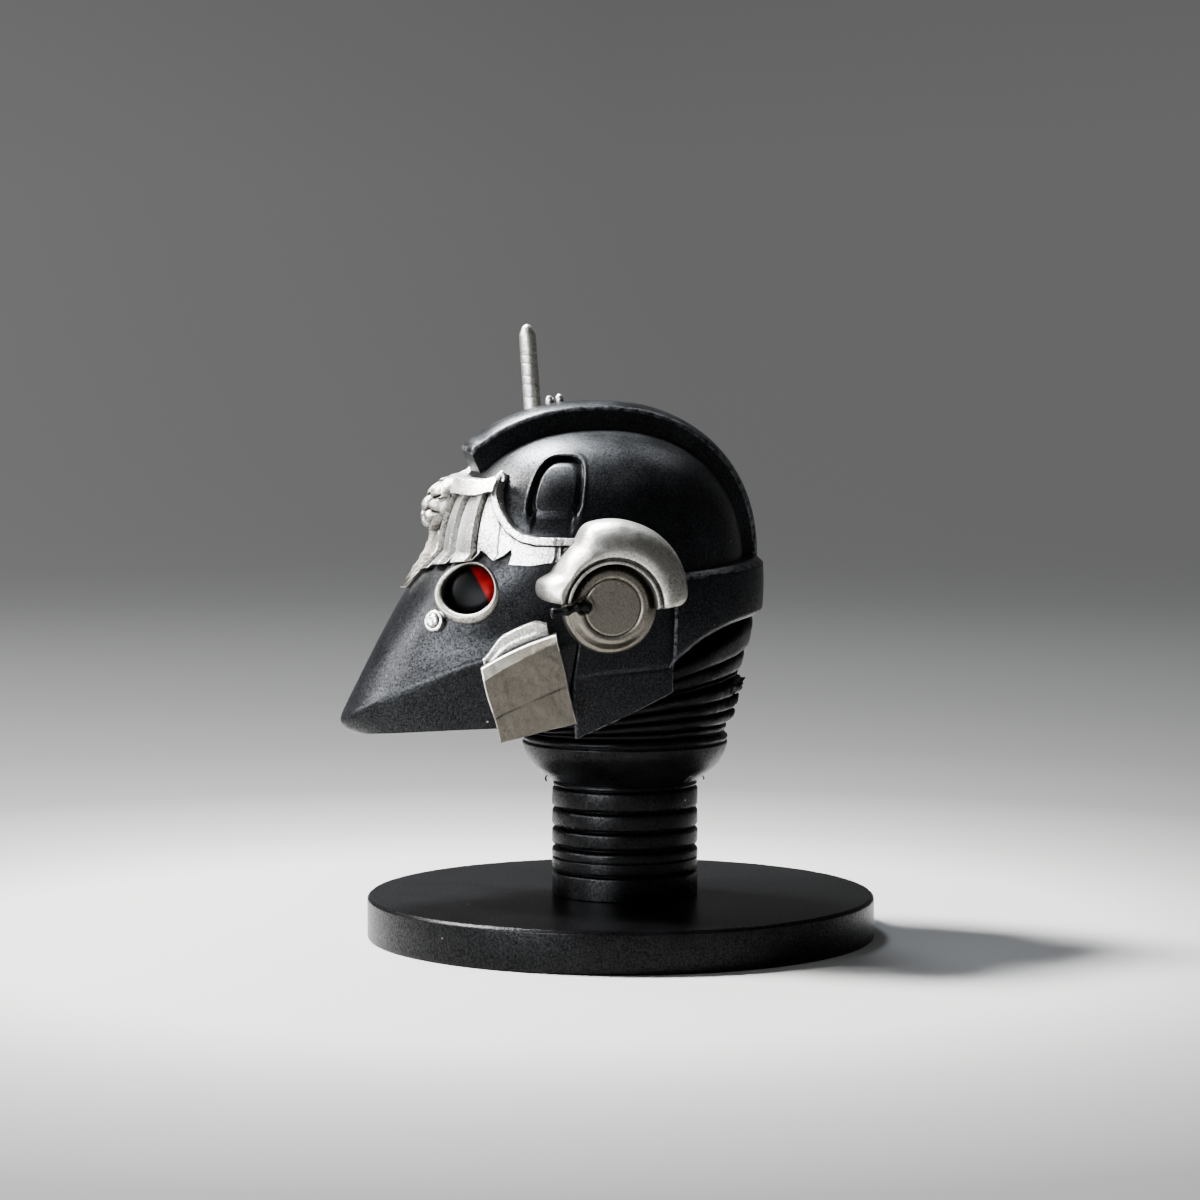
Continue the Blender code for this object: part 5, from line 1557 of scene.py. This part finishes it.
pin_x = ear_seat + DISC_HEIGHT + 0.9
PIN_ROUTE = ((-1.0, 0.35, 0.2), (-0.2, 0.1, 0.35), (0.0, -0.9, 0.25), (0.0, -2.2, -0.2), (-0.05, -4.1, -0.45))
route = [Vector((pin_x + x, hole_y + y, EAR_Z + z)) for x, y, z in PIN_ROUTE]
rings = []
for step in range(33):
    along = step / 32 * (len(route) - 1)
    first = min(int(along), len(route) - 2)
    middle = mix(route[first], route[first + 1], ease(along - first) * 0.5 + (along - first) * 0.5)
    heading = (route[first + 1] - route[first]).normalized()
    aside = heading.cross(Vector((0, 0, 1))).normalized()
    above = aside.cross(heading)
    radius = PIN_RADIUS + 0.08 * math.sin(7 * along) + 0.12 * ease((along - 3.6) / 0.4)
    radius *= math.sqrt(max(0.02, 1 - max(0.0, (along - 3.75) / 0.25) ** 2))
    turns = [k * math.pi / 8 for k in range(16)]
    rings.append([middle + (aside * math.cos(a) + above * math.sin(a)) * radius for a in turns])
points, faces = lofted(rings)
add_pair("ear_pin", points, faces, moulded, "ear_peg")

# The cheek plates: a thick cast plate on each cheek with a filed bevel along its top, a shallow
# crease near its foot and a worn plain panel in its middle. A thin plate lies under it. Its edges on
# the upper front are painted bright, as wear and as a painted highlight where the light falls.
CHEEK_MIDDLE = (13.6, -13.6, EQUATOR - 13.4)
CHEEK_TURN = 79.5
CHEEK_TILT = -12.9
CHEEK_LENGTH = 8.7
CHEEK_HEIGHT = 9.6
CHEEK_SKEW = 0.24
CHEEK_TOP_SLOPE = 0.48
CHEEK_LOW_SLOPE = 0.26
CHEEK_THICK = 1.7
CHEEK_BEVEL = 0.95
CHEEK_CROWN = 0.4
CHEEK_WEAR_AND_HIGHLIGHT = 46.5
BACKPLATE_THICK = 0.7
BACKPLATE_SHOW = 1.6
cheek_middle = Vector(CHEEK_MIDDLE)
turn, tilt = math.radians(CHEEK_TURN), math.radians(CHEEK_TILT)
cheek_out = Vector((math.sin(turn) * math.cos(tilt), -math.cos(turn) * math.cos(tilt), math.sin(tilt)))
cheek_back = Vector((0, 0, 1)).cross(cheek_out).normalized()
cheek_up = cheek_out.cross(cheek_back)
stand_off = 0.0
for bearing in range(43, int(VISOR_REAR) + 1, 3):
    for k in range(-10, 11):
        point = face_point(bearing, cheek_middle.z + 0.07 * k * CHEEK_HEIGHT)
        stand_off = max(stand_off, (point - cheek_middle).dot(cheek_out))
cheek_lift = stand_off + BACKPLATE_THICK + 0.6


def cheek_place(u, v, out):
    """A point of the plate: u runs back and v up, both from 0 to 1."""
    across = u - 0.5 + 0.012 * (u - 0.5) * math.sin(9 * v + 2)
    arch = CHEEK_CROWN * (1 - (2 * across) ** 2)
    top = 0.5 * CHEEK_HEIGHT + CHEEK_TOP_SLOPE * across * CHEEK_LENGTH + arch
    low = -0.5 * CHEEK_HEIGHT + CHEEK_LOW_SLOPE * across * CHEEK_LENGTH
    lean = CHEEK_SKEW * CHEEK_HEIGHT * (0.5 - v)
    along = cheek_back * (across * CHEEK_LENGTH + lean)
    return cheek_middle + along + cheek_up * mix(low, top, v) + cheek_out * out


def cheek_face(u, v):
    chamfer = mix(1.35, 0.60, u) / CHEEK_HEIGHT
    bevel = CHEEK_BEVEL * min(max((v - 1 + chamfer) / chamfer, 0.0), 1.0)
    crease = 0.16 * ease((0.36 + 0.10 * u - v) / 0.05)
    size = (abs((u - 0.44) / 0.22) ** 4 + abs((v - 0.58) / 0.22) ** 4) ** 0.25
    panel = 0.07 * ease((1.0 - size) / 0.30)
    warp = 0.10 * noise.noise(Vector((4 * u, 4 * v, 2))) + 0.05 * noise.noise(Vector((12 * u, 12 * v, 5)))
    return cheek_place(u, v, cheek_lift + CHEEK_THICK - bevel - crease - panel + warp)


def cheek_rear(u, v):
    return cheek_place(u, v, cheek_lift)


def backplate_place(u, v, out):
    """The thin plate behind, which shows above the thick one."""
    inside = mix(0.04, 0.90, u)
    show = BACKPLATE_SHOW * mix(0.35, 1.0, ease(u / 0.35)) * mix(1.0, 0.7, ease((u - 0.85) / 0.15))
    drop = mix(0.5 * CHEEK_HEIGHT, -show - 0.2 * math.sin(math.pi * u), v)
    return cheek_place(inside, 1 - drop / CHEEK_HEIGHT, out)


def backing_out(u, v):
    return backplate_place(u, v, cheek_lift - 0.05 - 0.18 * ease((v - 0.80) / 0.06))


def backing_in(u, v):
    return backplate_place(u, v, cheek_lift - 0.1 - BACKPLATE_THICK)


points, faces, wear_and_sheen = plate(cheek_face, cheek_rear, (CHEEK_LENGTH, CHEEK_HEIGHT), 0.16, (0.13, 0.11))
# Only the edges on the plate's upper front keep the full bright rub, a painted highlight as well as wear; the
# others keep a quarter of it.
wear_and_sheen = [rub if p.z - p.y > CHEEK_WEAR_AND_HIGHLIGHT else 0.25 * rub for rub, p in zip(wear_and_sheen, points)]
add_pair("cheek_badge", points, faces, cheek_nickel, "cheek_plate", 60, wear_and_sheen)
points, faces, wear_and_sheen = plate(backing_out, backing_in, (6.5, 6.0), 0.14, (0.3, 0.14))
add_pair("cheek_backing", points, faces, bright_nickel, "cheek_backplate", 60, wear_and_sheen)

# The antenna: a turned metal rod with faint rings and a coned tip, in a socket on the far side of
# the comb. Two small rivets stand on the comb behind it.
ROD_LOW, ROD_HIGH = (Vector(corner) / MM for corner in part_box("antenna_rod"))
ROD_LEAN = math.radians(4.0)
ROD_RADIUS = 1.02
ROD_LENGTH = 12.4
ROD_FOOT = 1.7
rod_foot = Vector(((ROD_LOW.x + ROD_HIGH.x) / 2, ROD_HIGH.y - ROD_FOOT, ROD_LOW.z + 0.1))
corners = [(0, -1.4, 0), (ROD_FOOT, -1.4, 0), (ROD_FOOT, 0.8, 0.2), (1.35, 1.05, 0.1)]
corners.append((ROD_RADIUS, 1.05, 0.1))
for share in (0.30, 0.42, 0.50, 0.62, 0.70):
    ring = ROD_LENGTH * share
    corners += [(ROD_RADIUS, ring, 0.06), (ROD_RADIUS - 0.06, ring + 0.1, 0.04)]
    corners.append((ROD_RADIUS, ring + 0.2, 0.06))
corners += [(0.97, 0.905 * ROD_LENGTH, 0.2), (0.50, 0.985 * ROD_LENGTH, 0.3), (0, ROD_LENGTH, 0)]
points, faces = turned(rounded(corners, 3), 48)
tilt = Vector((0, -math.sin(ROD_LEAN), math.cos(ROD_LEAN))).to_track_quat("Z", "Y")
points = [rod_foot + tilt @ p for p in points]
add_piece("antenna_mast", points, faces, hood_nickel, ["antenna_rod"], 50)

for end in ("front", "rear"):
    low, high = (Vector(corner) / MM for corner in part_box("comb_stud_" + end))
    radius = (high.x - low.x) / 2
    stud = [(0, -0.5, 0), (radius, -0.5, 0), (radius, 0.3 * radius, 0.15)]
    stud += [(0.6 * radius, radius, 0.2), (0, 1.2 * radius, 0)]
    points, faces = turned(rounded(stud, 4), 32)
    points = [p + Vector(((low.x + high.x) / 2, (low.y + high.y) / 2, low.z)) for p in points]
    add_piece("comb_rivet_" + end, points, faces, bright_nickel, ["comb_stud_" + end], 60)
